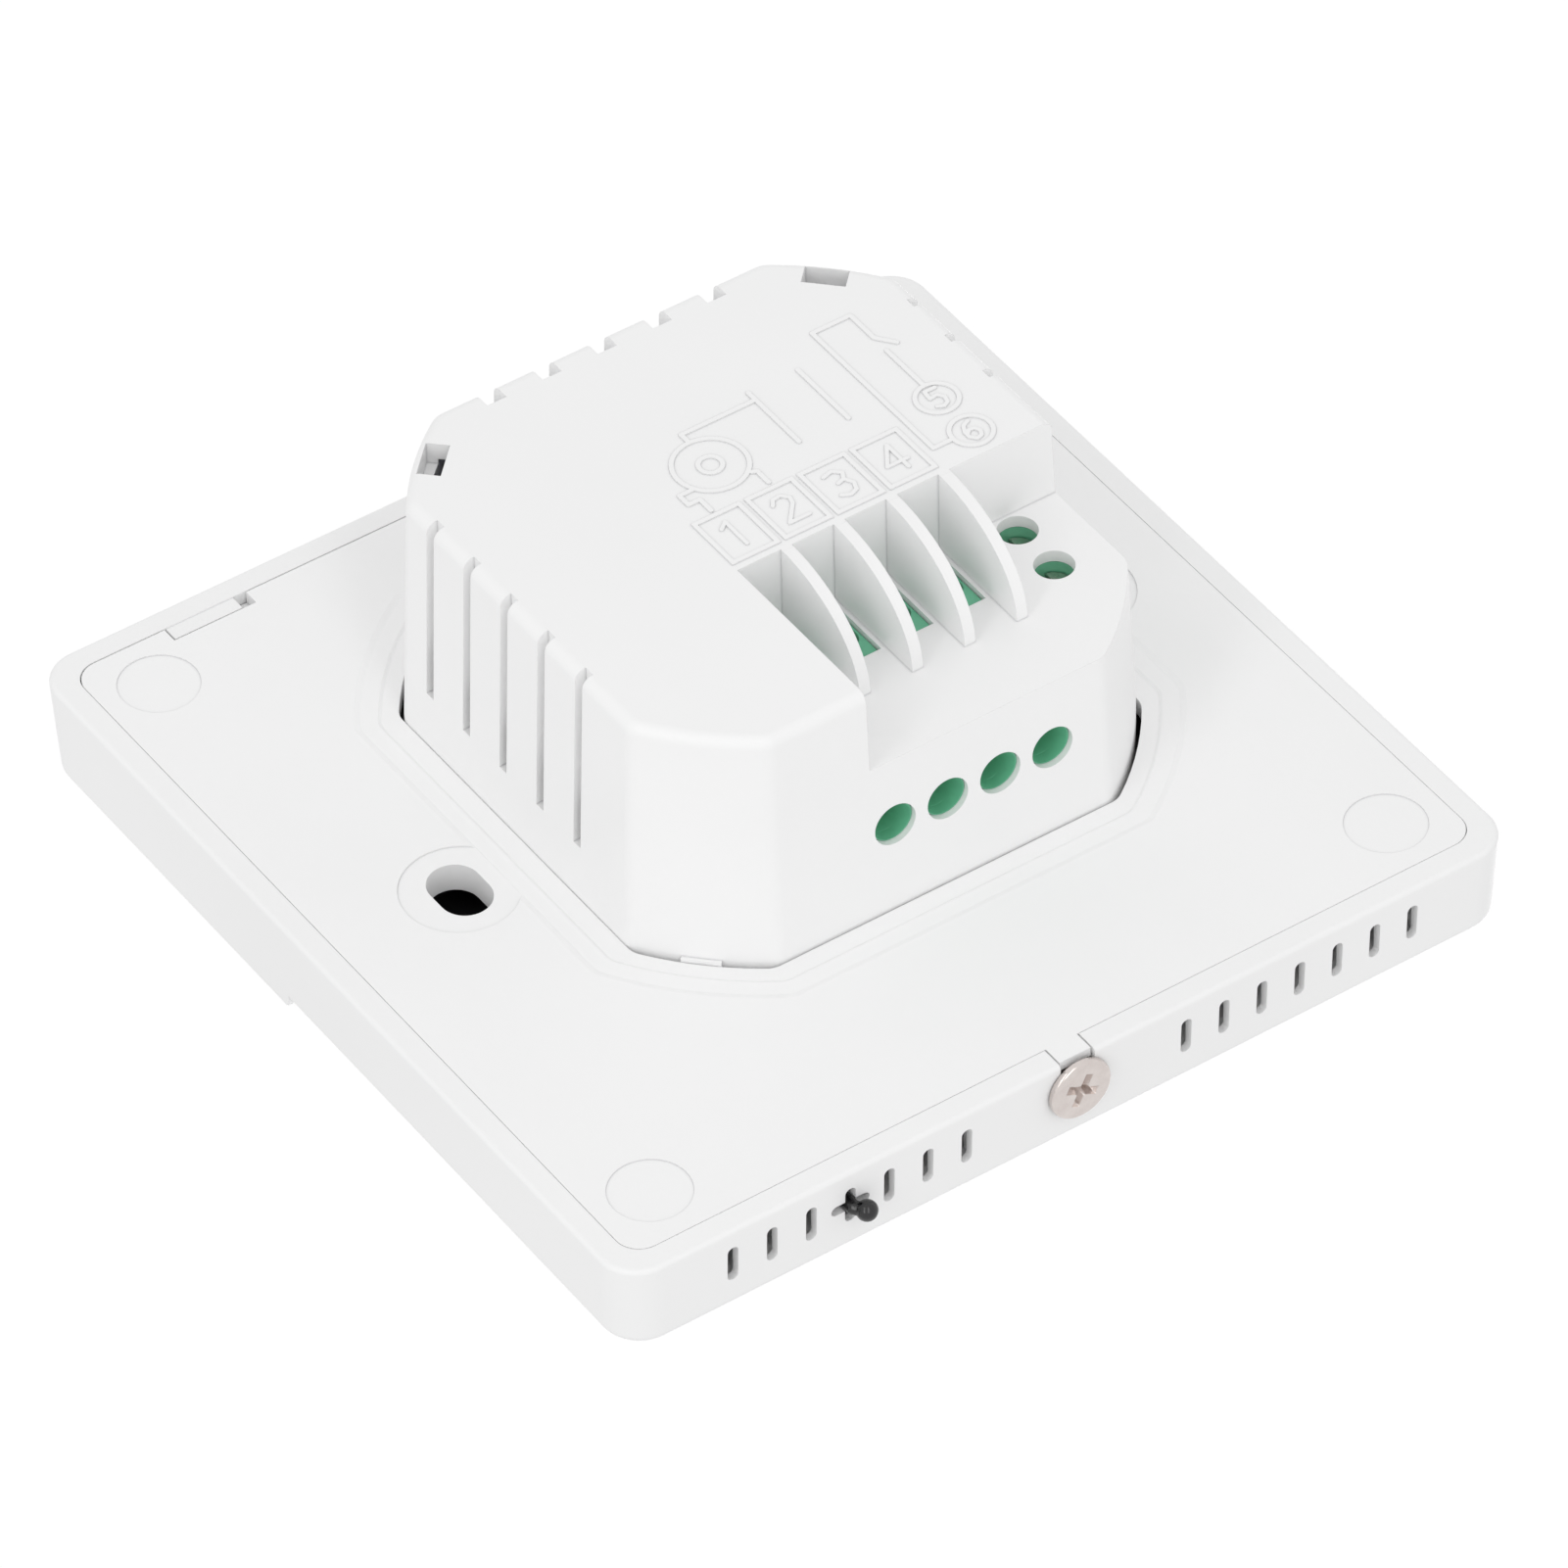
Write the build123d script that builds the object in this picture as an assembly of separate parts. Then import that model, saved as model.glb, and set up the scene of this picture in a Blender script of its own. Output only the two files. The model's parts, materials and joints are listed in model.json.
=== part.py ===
from build123d import *
import math
import os

# Wall thermostat in the frame of the wall it hangs on: x to the right and z up as seen
# from the room, y towards the wall. The origin is the centre of the plate's back face.
# Every length is in millimetres.

# Front shell
shell_width = 86.0
shell_depth = 8.5
shell_corner = 3.5
shell_draft = 0.35
shell_wall = 2.2
face_wall = 1.5
display_raise = 1.3
step_height = 5.8
step_run = 0.9
front_round = 0.9
rim_round = 0.4

# Cuts run this far past the faces that they open
over = 1.0

# Display and touch face
lens_side = 4.5
lens_height = 30.0
lens_margin = 3.2
lens_depth = 1.1
lens_corner = 2.0
lens_gap = 0.05
lcd_width = 56.0
lcd_height = 24.0
lcd_thickness = 1.75
lcd_gap = 0.3
backlight_inset = 1.0
backlight_edge = 0.8
key_count = 4
key_pitch = 17.0
key_height = -19.0
key_dish_radius = 4.5
key_dish_depth = 0.15
pad_radius = 4.0

# Vents and room sensor in the lower edge
vent_pitch = 3.7
vent_first = 10.6
vent_count = 7
vent_width = 1.0
vent_length = 3.6
vent_level = 3.72
vent_wall = 0.95
vent_margin = 0.6
sensor_vent = 3
bead_radius = 0.92
bead_proud = 1.13
bead_shift = 0.69
neck_radius = 0.6
neck_proud = 0.25
lead_radius = 0.15
lead_spacing = 0.42
lead_spread = 1.6
lead_seat = 0.35
lead_overlap = 1.2
lead_rise = 0.8
lead_run = 2.6
lead_bend = 0.4

# Mounting plate
plate_gap = 0.05
plate_top_gap = 0.13
plate_corner = 2.2
plate_thickness = 2.0
slot_pitch = 60.3
slot_centre_x = -1.2
slot_centre_z = 1.25
slot_width = 4.5
slot_length = 6.2
slot_boss_wall = 1.4
slot_boss_depth = 2.9
slot_ring_radius = 5.0
slot_ring_depth = 0.12
mark_radius = 3.45
mark_depth = 0.1
mark_inset = 5.2
surround_widths = (1.7, 3.4)
surround_depths = (0.3, 0.15)
surround_slope = 0.5

# Skirt of the plate behind the vents, open where the sensor's leads pass
skirt_start = 8.5
skirt_end = 31.2
skirt_thickness = 1.0
skirt_set_back = 1.3
skirt_depth = 5.9
skirt_lead_gap = 2.0

# Hooks of the shell that hold the plate's upper edge
hook_x = 28.3
hook_length = 6.5
hook_reach = 1.45
hook_thickness = 0.9
hook_recess_length = 7.9
hook_recess_depth = 1.2
hook_gap = 0.2

# Lock screw, its notch, tongue and lug
lock_level = 3.1
lock_shank_radius = 1.5
lock_length = 6.2
lock_head_radius = 2.85
lock_head_thickness = 0.6
lock_head_round = 0.33
lock_clearance = 0.15
recess_taper = 22
recess_arm = 0.26
recess_core = 1.5
lock_recess_share = 1.12
lock_turn = 27
lock_recess_depth = 1.0
lock_seat_gap = 0.05
tongue_depth = 0.9
tongue_end_gap = 0.4
lug_width = 8.0
lug_thickness = 3.8
lug_set_back = 0.3
lug_depth = 6.2
insert_radius = 2.2
insert_end_gap = 0.1
thread_clearance = 0.05

# Rear housing
case_x = -3.2
case_z = 4.4
case_half = 24.8
case_radius = 29.6
case_kink = 2.0
case_height = 22.95
case_draft = 0.045
case_wall = 1.6
case_round = 1.0
case_gap = 0.17
case_side_gap = 0.06
case_corner_gap = 0.45
shelf_level = 15.05
shelf_wall = 1.15
shelf_x = 3.5
shelf_z = -1.55
fin_thickness = 1.05
fin_height = 7.9
fin_reach = 10.8
fin_root = 0.3
fin_foot_share = 0.98
floor_hole_width = 3.2
floor_hole_end = -8.6
floor_hole_start = -2.4
access_radius = 1.7
wire_level = 8.3
wire_hole_radius = 1.95
slit_counts = {1: 5, -1: 3}
notch_count = 5
slit_pitch = 5.3
slit_first = 12.33
slit_width = 1.0
slit_start = 5.1
slit_depth = 1.0
notch_x = -2.86
notch_pitch = 5.35
notch_width = 1.85
notch_depth = 1.85
corner_slot_distance = 26.95
corner_slot_length = 3.7
corner_slot_width = 2.0
rib_width = 3.3
rib_reach = 0.33
rib_root = 0.6

# Raised numbers and wiring lines on the case
mark_rise = 0.12
line_width = 0.42
digit_width = 0.36
box_width = 4.7
box_height = 5.9
box_shift_x = -0.17
box_z = 2.05
ring_radius = 2.0
ring_x = -21.05
ring_first_z = 5.95
ring_pitch = 4.78
digit_small = 0.72
motor_x = -1.76
motor_z = 9.95
motor_radius = 3.35
motor_core = 1.2
digits = {
    1: [[(-0.7, 1.0), (0.05, 1.6), (0.05, -1.5)]],
    2: [[(-0.9, 0.9), (-0.5, 1.5), (0.25, 1.6), (0.8, 1.0), (0.6, 0.3), (-0.9, -1.5), (1.0, -1.5)]],
    3: [[(-0.8, 1.35), (0.1, 1.6), (0.8, 1.0), (0.45, 0.3), (-0.2, 0.1)],
        [(0.45, 0.3), (0.9, -0.5), (0.6, -1.3), (-0.1, -1.55), (-0.8, -1.2)]],
    4: [[(0.45, -1.5), (0.45, 1.6), (-1.0, -0.6), (1.0, -0.6)]],
    5: [[(0.8, 1.6), (-0.6, 1.6), (-0.75, 0.3), (0.3, 0.45), (0.85, -0.3), (0.6, -1.2),
         (-0.1, -1.55), (-0.8, -1.2)]],
    6: [[(0.6, 1.55), (-0.3, 1.1), (-0.8, 0.1), (-0.8, -0.8), (-0.2, -1.5), (0.5, -1.3), (0.85, -0.6),
         (0.5, 0.1), (-0.2, 0.2), (-0.8, -0.4)]],
}
wiring = [
    [(-22.3, 13.35), (-21.1, 14.9), (-21.1, 18.25), (-17.35, 18.25), (-17.35, 1.17), (-19.2, 1.17)],
    [(-21.05, 13.0), (-21.05, 7.8)],
    [(-13.9, 15.27), (-13.9, 8.1)],
    [(-9.08, 15.28), (-9.08, 8.1)],
    [(-9.08, 14.25), (-1.85, 14.25), (-1.85, 13.15)],
    [(1.0, 8.3), (2.35, 8.3), (2.35, 7.0), (1.26, 7.0), (1.26, 5.4)],
    [(-3.95, 7.3), (-4.35, 7.15), (-4.35, 5.5)],
]

# Chassis behind the control board
chassis_back = -3.2
chassis_thickness = 1.2
chassis_gap = 0.4
chassis_opening_half = 20.4
chassis_opening_radius = 22.6
chassis_foot = 6.0
chassis_foot_margin = 1.0
prop_radius = 1.1
prop_margin = 0.2
prop_shifts = (11.5, -9.5)
rest_radius = 1.6
well_half_z = 5.2
well_floor = -5.6
well_wall = 0.8
well_half_x = 3.9
well_case_gap = 0.35
well_room = 0.4
post_inset = 5.2
post_radius = 3.0
self_tap_radius = 1.25
self_tap_head = 2.4
chassis_screw_length = 3.3
case_screw_length = 4.6
tap_recess_share = 1.1
tap_recess_depth = 0.7
pilot_gap = 0.05
pilot_end = 0.1
post_hole_end = 0.4

# Boards
control_back = -4.7
control_thickness = 1.2
control_edge = 2.8
control_foot = 5.0
board_hole_gap = 0.5
lug_room_side = 0.8
lug_room_depth = 2.2
rest_from_display = 1.1
rest_from_top = 6.2
rest_from_foot = 6.8
power_front = 0.2
power_thickness = 1.6
power_gap = 0.35
screw_ring = 26.0
case_post_radius = 2.5
case_post_top = 9.0
post_room = 0.3
ledge_depth = 2.2
ledge_length = 6.0
ledge_height = 3.0
ledge_shift_x = 6.0
ledge_shift_z = 5.0

# Terminals
terminal_pitch = 5.08
terminal_1_x = 1.34
main_screw_z = -5.5
dry_screw_x = -22.23
dry_screw_z = -3.52
main_count = 4
dry_count = 2
block_gap = 0.1
block_back = 3.9
block_edge = 0.5
contact_gap = 0.05
cage_width = 3.9
cage_length = 4.6
cage_clearance = 0.2
cage_wall = 0.5
cage_foot = 0.8
cage_cap = 0.7
wire_space = 3.0
cage_travel = 1.3
bar_thickness = 0.4
bar_width = 2.5
term_head_radius = 1.65
term_head_thickness = 1.0
term_head_sink = 1.0
term_shank_radius = 1.25
term_ledge = 0.3
term_well_gap = 0.1
collar_gap = 0.07
collar_lip = 0.06
collar_set_back = 0.45
collar_root = 1.2
boss_gap = 0.1
boss_set_back = 0.45
boss_well_radius = 1.3
throat_radius = 1.25
throat_margin = 0.05
funnel_length = 3.0
funnel_share = 0.8
throat_overlap = 0.5
slot_cut = 0.5
slot_cut_depth = 0.6

# Parts on the boards: x, z of the centre, then sizes along x, z and y
relay_size = (7.0, 18.2, 15.0)
relay_first_x = -21.0
relay_pitch = 8.1
relay_z = 10.4
transformer_size = (12.6, 14.0, 12.5)
transformer_at = (11.8, 11.5)
core_share = 0.42
core_lift = 1.2
window_width = 0.62
window_low = 0.2
window_high = 0.8
coil_width = 0.6
coil_depth = 0.9
coil_gap = 0.05
coil_round = 2.2
coil_foot_place = 0.38
coil_foot_width = 0.5
coil_foot_depth = 0.12
filter_cap = (13.0, -3.6, 5.0, 16.0)
output_cap = (8.4, -13.4, 3.15, 11.0)
can_rim = 0.5
can_top_dip = 0.2
can_groove = (1.7, 2.2)
can_groove_depth = 0.25
varistor_at = (5.0, 23.6)
varistor_size = (10.0, 4.2, 11.2)
varistor_round = 0.3
varistor_leg = 0.8
fuse_at = (-5.6, 23.6)
fuse_size = (8.4, 4.3, 8.0)
bridge_at = (-14.6, 23.6)
bridge_size = (6.4, 4.7, 2.6)
part_round = 0.5
chip_at = (-13.5, 10.0)
chip_size = (10.0, 10.0, 1.4)
chip_edge = 0.2
wifi_at = (4.5, 9.0)
wifi_size = (16.0, 20.0, 0.8)
wifi_can_size = (12.0, 13.0, 2.2)
wifi_can_shift = 3.0
header_at = (-10.0, -10.3)
header_pins = 6
header_pitch = 2.54
header_pin = 0.64
header_body = 1.1
socket_height = 3.5
socket_floor = 0.7
pin_room = 0.3
pin_end = 1.0

# Derived places
shell_half = shell_width / 2
shell_front = -shell_depth
display_front = shell_front - display_raise
cavity_half = shell_half - shell_wall
plate_half = cavity_half - plate_gap
corner_post = cavity_half - post_inset
control_half_x = cavity_half - control_edge
control_top = cavity_half - control_edge
lens_width = shell_width - 2 * lens_side
face_inner = shell_front + face_wall
draft_slope = shell_draft / shell_depth
chassis_front = chassis_back - chassis_thickness
control_front = control_back - control_thickness
power_back = power_front + power_thickness
shelf_under = shelf_level - shelf_wall
block_top = shelf_under - block_gap
slot_xs = (slot_centre_x + slot_pitch / 2, slot_centre_x - slot_pitch / 2)
lens_top = shell_half - lens_margin - shell_draft
lens_mid = lens_top - lens_height / 2
head_under = block_top - term_head_sink - term_head_thickness
cage_top_limit = head_under - term_ledge
cage_top = cage_top_limit - block_gap - cage_travel
bar_top = cage_top - cage_cap - block_gap
cage_inner = bar_top - bar_thickness - wire_space
cage_bottom = cage_inner - cage_foot
throat_level = bar_top - bar_thickness - throat_margin - throat_radius
wells = [(slot_xs[0], well_half_x, well_half_x),
         (slot_xs[1], well_half_x, case_x - case_half - well_case_gap - slot_xs[1])]


def facing(y):
    """Plane square to y, with x to the right and z up."""
    return Plane(origin=(0, y, 0), x_dir=(1, 0, 0), z_dir=(0, -1, 0))


def slab(shape, back, front):
    """Solid of a shape drawn in x and z, between two levels of y."""
    return extrude(facing(back) * shape, amount=back - front)


def block(x, z, size_x, size_z, back, front):
    """Box centred on x, z between two levels of y."""
    return Pos(x, (back + front) / 2, z) * Box(size_x, back - front, size_z)


def rod(x, z, radius, back, front):
    """Round bar along y."""
    return slab(Pos(x, z) * Circle(radius), back, front)


def squircle(half, corner):
    return RectangleRounded(2 * half, 2 * half, corner)


def case_outline(half, radius):
    """Square cut by a circle, as a case for round and square wall boxes has."""
    shape = Rectangle(2 * half, 2 * half) & Circle(radius)
    return Pos(case_x, case_z) * fillet(shape.vertices(), case_kink)


def case_body(half, radius, height):
    """Case outline from the chassis to a height, straight to y = 0 and drafted above."""
    shrink = case_draft * height
    foot = slab(case_outline(half, radius), 0, chassis_back)
    top = loft([facing(0) * case_outline(half, radius),
                facing(height) * case_outline(half - shrink, radius - shrink)], ruled=True)
    return foot + top


def at_level(solid, y):
    """Edges of a solid that lie in the plane of one y."""
    return solid.edges().filter_by(lambda e: abs(e.bounding_box().min.Y - y) < 1e-3
                                   and abs(e.bounding_box().max.Y - y) < 1e-3)


def half_at(y):
    """Half width of the case at a level of y."""
    return case_half - case_draft * max(y, 0)


def beyond(x_limit, z_limit, y_limit):
    """Large block that takes away the corner below x and z and behind y."""
    size = 2 * shell_width
    return Pos(x_limit - size / 2, y_limit + size / 2, z_limit - size / 2) * Box(size, size, size)


def terminals():
    """Place of each terminal: x, z and the turn of its wire side about y."""
    places = [(terminal_1_x - i * terminal_pitch, main_screw_z, 0) for i in range(main_count)]
    places += [(dry_screw_x, dry_screw_z - i * terminal_pitch, 90) for i in range(dry_count)]
    return places


def placed(solid, x, z, turn):
    """A terminal piece, made with its wires coming from -z, put in its place."""
    return Pos(x, 0, z) * Rot(0, turn, 0) * solid


def vent_xs():
    return [side * (vent_first + i * vent_pitch) for side in (1, -1) for i in range(vent_count)]


sensor_x = vent_first + sensor_vent * vent_pitch


def lower_edge_cut(shape):
    """Cut through the shell's lower wall, drawn in x and y."""
    sketch = Plane(origin=(0, 0, -shell_half - over), x_dir=(1, 0, 0), z_dir=(0, 0, 1)) * shape
    return extrude(sketch, amount=shell_wall + 2 * over)


def front_shell():
    thin = loft([facing(0) * squircle(shell_half, shell_corner),
                 facing(shell_front) * squircle(shell_half - shell_draft, shell_corner)], ruled=True)
    thin = fillet(at_level(thin, shell_front), front_round)
    inset = draft_slope * -display_front
    thick = loft([facing(0) * squircle(shell_half, shell_corner),
                  facing(display_front) * squircle(shell_half - inset, shell_corner)], ruled=True)
    thick = fillet(at_level(thick, display_front), front_round)
    below = Plane.YZ * Polygon((0, step_height), (shell_front, step_height),
                               (display_front - over, step_height + step_run * (1 + over / display_raise)),
                               (display_front - over, -shell_width), (0, -shell_width), align=None)
    thick -= extrude(below, amount=shell_width, both=True)
    body = thin + thick
    body = fillet(at_level(body, 0), rim_round)
    body -= slab(squircle(cavity_half, plate_corner), over, face_inner)
    body -= slab(Pos(0, lens_mid) * RectangleRounded(lens_width, lens_height, lens_corner),
                 display_front + lens_depth, display_front - over)
    body -= block(0, lens_mid, lcd_width + 2 * lcd_gap, lcd_height + 2 * lcd_gap, 0, display_front)
    for i in range(key_count):
        x = (i - (key_count - 1) / 2) * key_pitch
        body -= rod(x, key_height, key_dish_radius, shell_front + key_dish_depth, shell_front - over)
    vent = Rot(0, 0, 90) * SlotOverall(vent_length, vent_width)
    for x in vent_xs():
        body -= lower_edge_cut(Pos(x, -vent_level) * vent)
    body -= lower_edge_cut(Pos(sensor_x, -vent_level) * SlotOverall(vent_length, vent_width))
    row = (vent_count - 1) * vent_pitch
    low = vent_wall - shell_half
    high = over - cavity_half
    for side in (1, -1):
        body -= block(side * (vent_first + row / 2), (low + high) / 2,
                      row + vent_width + 2 * vent_margin, high - low,
                      -vent_level + vent_length / 2 + vent_margin,
                      -vent_level - vent_length / 2 - vent_margin)
    notch_radius = lock_shank_radius + lock_clearance
    notch = Pos(0, -lock_level) * Circle(notch_radius)
    notch += Pos(0, (over - lock_level) / 2) * Rectangle(2 * notch_radius, lock_level + over)
    body -= lower_edge_cut(notch)
    for side in (1, -1):
        body += block(side * hook_x, cavity_half - (hook_reach - over) / 2, hook_length, hook_reach + over,
                      -rim_round / 4, -hook_thickness - rim_round / 4)
    for x, z in chassis_corners():
        body += rod(x, z, post_radius, chassis_front, face_inner)
        body -= rod(x, z, self_tap_radius + pilot_gap, chassis_front,
                    chassis_back - chassis_screw_length - pilot_end)
    for x, z in board_rests():
        body += rod(x, z, rest_radius, control_front, face_inner)
    return body


def chassis_corners():
    return [(x, z) for x in (corner_post, -corner_post) for z in (corner_post, -corner_post)]


def board_rests():
    """Places where the control board is held between shell and chassis."""
    x = lcd_width / 2 + lcd_gap + rest_radius + rest_from_display
    foot = -cavity_half + control_foot
    levels = (cavity_half - rest_from_top, foot + rest_from_foot)
    return [(side * x, z) for side in (1, -1) for z in levels]


def display_lens():
    grip = 2 * lens_gap
    pane = RectangleRounded(lens_width - grip, lens_height - grip, lens_corner - lens_gap)
    return slab(Pos(0, lens_mid) * pane, display_front + lens_depth, display_front)


def lcd_panel():
    back = display_front + lens_depth + lcd_thickness
    return block(0, lens_mid, lcd_width, lcd_height, back, back - lcd_thickness)


def backlight():
    front = display_front + lens_depth + lcd_thickness
    plate = block(0, lens_mid, lcd_width - 2 * backlight_inset, lcd_height - 2 * backlight_inset,
                  control_front, front)
    return chamfer(plate.edges().filter_by(Axis.Y), backlight_edge)


def touch_pads():
    pads = [rod((i - (key_count - 1) / 2) * key_pitch, key_height, pad_radius, control_front, face_inner)
            for i in range(key_count)]
    return Compound(children=pads)


def mounting_plate():
    height = 2 * cavity_half - plate_gap - plate_top_gap
    outline = Pos(0, (plate_gap - plate_top_gap) / 2) * RectangleRounded(2 * plate_half, height, plate_corner)
    plate = slab(outline, 0, -plate_thickness)
    for x in slot_xs:
        boss = SlotOverall(slot_length + 2 * slot_boss_wall, slot_width + 2 * slot_boss_wall, rotation=90)
        plate += slab(Pos(x, slot_centre_z) * boss, -plate_thickness, -slot_boss_depth)
    lug_bottom = -plate_half + lug_set_back
    plate += block(0, lug_bottom + lug_thickness / 2, lug_width, lug_thickness, -plate_thickness, -lug_depth)
    skirt_z = -cavity_half + skirt_set_back + skirt_thickness / 2
    for start, end in ((-skirt_end, -skirt_start), (skirt_start, sensor_x - skirt_lead_gap),
                       (sensor_x + skirt_lead_gap, skirt_end)):
        plate += block((start + end) / 2, skirt_z, end - start, skirt_thickness, -plate_thickness, -skirt_depth)
    tongue_end = shell_half - tongue_end_gap
    tongue_root = cavity_half - over
    plate += block(0, -(tongue_end + tongue_root) / 2, 2 * lock_shank_radius, tongue_end - tongue_root,
                   0, -tongue_depth)
    for width, depth in zip(surround_widths, surround_depths):
        near = case_gap + width
        far = near + surround_slope
        plate -= loft([facing(0) * case_outline(case_half + far, case_radius + far),
                       facing(-depth) * case_outline(case_half + near, case_radius + near)], ruled=True)
    opening = Rectangle(2 * (case_half + case_side_gap), 2 * (case_half + case_gap))
    opening = fillet((opening & Circle(case_radius + case_corner_gap)).vertices(), case_kink)
    plate -= slab(Pos(case_x, case_z) * opening, over, -slot_boss_depth - over)
    for x in slot_xs:
        slot = Pos(x, slot_centre_z) * SlotOverall(slot_length, slot_width, rotation=90)
        plate -= rod(x, slot_centre_z, slot_ring_radius, 0, -slot_ring_depth)
        plate -= slab(slot, over, -slot_boss_depth - over)
    mark = plate_half - mark_inset
    for x in (mark, -mark):
        for z in (mark, -mark):
            plate -= rod(x, z, mark_radius, 0, -mark_depth)
    for side in (1, -1):
        x = side * (hook_x - (hook_recess_length - hook_length) / 2 + hook_gap)
        recess = hook_reach + hook_gap
        plate -= block(x, cavity_half + (over - recess) / 2, hook_recess_length, recess + over,
                       over, -hook_recess_depth)
    bore = Cylinder(insert_radius, 2 * lug_thickness, align=(Align.CENTER, Align.CENTER, Align.MAX))
    plate -= Pos(0, -lock_level, lug_bottom + lug_thickness) * bore
    return plate


def lock_insert():
    z = -plate_half + lug_set_back + lug_thickness / 2
    sleeve = Pos(0, -lock_level, z) * Cylinder(insert_radius, lug_thickness - 2 * insert_end_gap)
    return sleeve - Pos(0, -lock_level, z) * Cylinder(lock_shank_radius + thread_clearance, lug_thickness)


def cross_recess(size, depth):
    """Cross that a screwdriver fits, cut downwards from z = 0 and narrowing as it goes."""
    arm = size * recess_arm
    core = arm * recess_core
    cross = Rectangle(size, arm) + Rectangle(arm, size) + Rectangle(core, core, rotation=45)
    return extrude(cross, amount=-depth, taper=recess_taper)


def lock_screw():
    head = Cylinder(lock_head_radius, lock_head_thickness, align=(Align.CENTER, Align.CENTER, Align.MIN))
    head = fillet(head.edges().sort_by(Axis.Z)[-1], lock_head_round)
    shank = Pos(0, 0, -lock_length / 2) * Cylinder(lock_shank_radius, lock_length)
    screw = head + shank
    recess = cross_recess(lock_head_radius * lock_recess_share, lock_recess_depth)
    screw -= Pos(0, 0, lock_head_thickness) * recess
    return Pos(0, -lock_level, -shell_half - lock_seat_gap) * Rot(180, 0, 0) * Rot(0, 0, -lock_turn) * screw


def sensor_bead():
    """Black bead on its neck, bent aside just outside the cross-shaped vent."""
    elbow = -shell_half - neck_proud
    straight = Pos(0, 0, (elbow - cavity_half) / 2) * Cylinder(neck_radius, -cavity_half - elbow)
    drop = -shell_half - bead_proud
    reach = math.hypot(bead_shift, elbow - drop)
    lean = math.degrees(math.atan2(bead_shift, elbow - drop))
    bent = Pos(0, 0, elbow) * Rot(0, lean, 0) * Pos(0, 0, -reach / 2) * Cylinder(neck_radius, reach)
    neck = straight + Pos(0, 0, elbow) * Sphere(neck_radius) + bent
    bead = neck + Pos(-bead_shift, 0, drop) * Sphere(bead_radius)
    return Pos(sensor_x, -vent_level, 0) * bead - sensor_leads()


def sensor_leads():
    """Two leads from inside the bead's neck to the back face of the control board."""
    rest = control_back + lead_radius
    top = -cavity_half
    end = -cavity_half + control_foot + lead_overlap
    leads = []
    for side in (1, -1):
        near = sensor_x + side * lead_spacing / 2
        far = sensor_x + side * lead_spread / 2
        path = FilletPolyline((near, -vent_level, top - lead_seat), (near, -vent_level, top + lead_rise),
                              (far, rest, top + lead_run), (far, rest, end), radius=lead_bend)
        leads.append(sweep(Plane(path @ 0, z_dir=path % 0) * Circle(lead_radius), path=path))
    return Compound(children=leads)


def rear_housing():
    low = case_body(case_half, case_radius, shelf_level)
    low = fillet(at_level(low, shelf_level), case_round)
    high = case_body(case_half, case_radius, case_height)
    high = fillet(at_level(high, case_height), case_round)
    high -= beyond(shelf_x, shelf_z, shelf_level)
    body = low + high
    inner_half = case_half - case_wall
    inner_radius = case_radius - case_wall
    cavity = case_body(inner_half, inner_radius, case_height - case_wall)
    cavity -= beyond(shelf_x + case_wall, shelf_z + case_wall, shelf_under)
    body -= cavity
    body += fins()
    body += case_posts()
    body += board_ledges()
    for cut in housing_cuts():
        body -= cut
    turn = math.sqrt(0.5) * (case_radius + rib_reach / 2 - rib_root / 2)
    body += case_marks()
    rib = Rot(0, 135, 0) * Box(rib_width, plate_thickness, rib_reach + rib_root)
    body += Pos(case_x + turn, -plate_thickness / 2, case_z - turn) * rib
    return body


def stroke(points, width):
    """Line of one width through points in x and z, with round ends and joints."""
    runs = []
    for (x0, z0), (x1, z1) in zip(points, points[1:]):
        middle = Pos((x0 + x1) / 2, (z0 + z1) / 2)
        turn = math.degrees(math.atan2(z1 - z0, x1 - x0))
        runs.append(middle * Rot(0, 0, turn) * SlotCenterToCenter(math.hypot(x1 - x0, z1 - z0), width))
    return runs


def numeral(number, x, z, size):
    """Numeral that reads from the case side, where x runs to the left."""
    runs = []
    for points in digits[number]:
        runs += stroke([(x - size * right, z + size * up) for right, up in points], digit_width)
    return runs


def ring(x, z, radius, width):
    return Pos(x, z) * (Circle(radius) - Circle(radius - width))


def case_marks():
    """Numbered boxes over the screw pockets, numbered rings and plain wiring lines."""
    flat = []
    for i in range(main_count):
        x = terminal_1_x - i * terminal_pitch + box_shift_x
        frame = Rectangle(box_width, box_height)
        frame -= Rectangle(box_width - 2 * line_width, box_height - 2 * line_width)
        flat.append(Pos(x, box_z) * frame)
        flat += numeral(i + 1, x, box_z, 1)
    for i in range(dry_count):
        z = ring_first_z - i * ring_pitch
        flat.append(ring(ring_x, z, ring_radius, line_width))
        flat += numeral(main_count + i + 1, ring_x, z, digit_small)
    flat.append(ring(motor_x, motor_z, motor_radius, line_width))
    flat.append(ring(motor_x, motor_z, motor_core, line_width))
    for points in wiring:
        flat += stroke(points, line_width)
    return slab(Sketch() + flat, case_height + mark_rise, case_height - mark_rise)


def fins():
    """Curved fins between the terminal pockets."""
    quadrant = Pos(shelf_level + fin_height / 2, shelf_z - fin_reach / 2) * Rectangle(fin_height, fin_reach)
    quarter = Pos(shelf_level, shelf_z) * Ellipse(fin_height, fin_reach) & quadrant
    root = Pos(shelf_level + fin_height / 2, shelf_z) * Rectangle(fin_height, 2 * fin_root)
    foot = Pos(shelf_level, shelf_z - fin_reach / 2) * Rectangle(2 * fin_root, fin_reach * fin_foot_share)
    fin = extrude(Plane.YZ * (quarter + root + foot), amount=fin_thickness / 2, both=True)
    xs = [terminal_1_x - (i + 0.5) * terminal_pitch for i in range(main_count)]
    return [Pos(x, 0, 0) * fin for x in xs]


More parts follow.
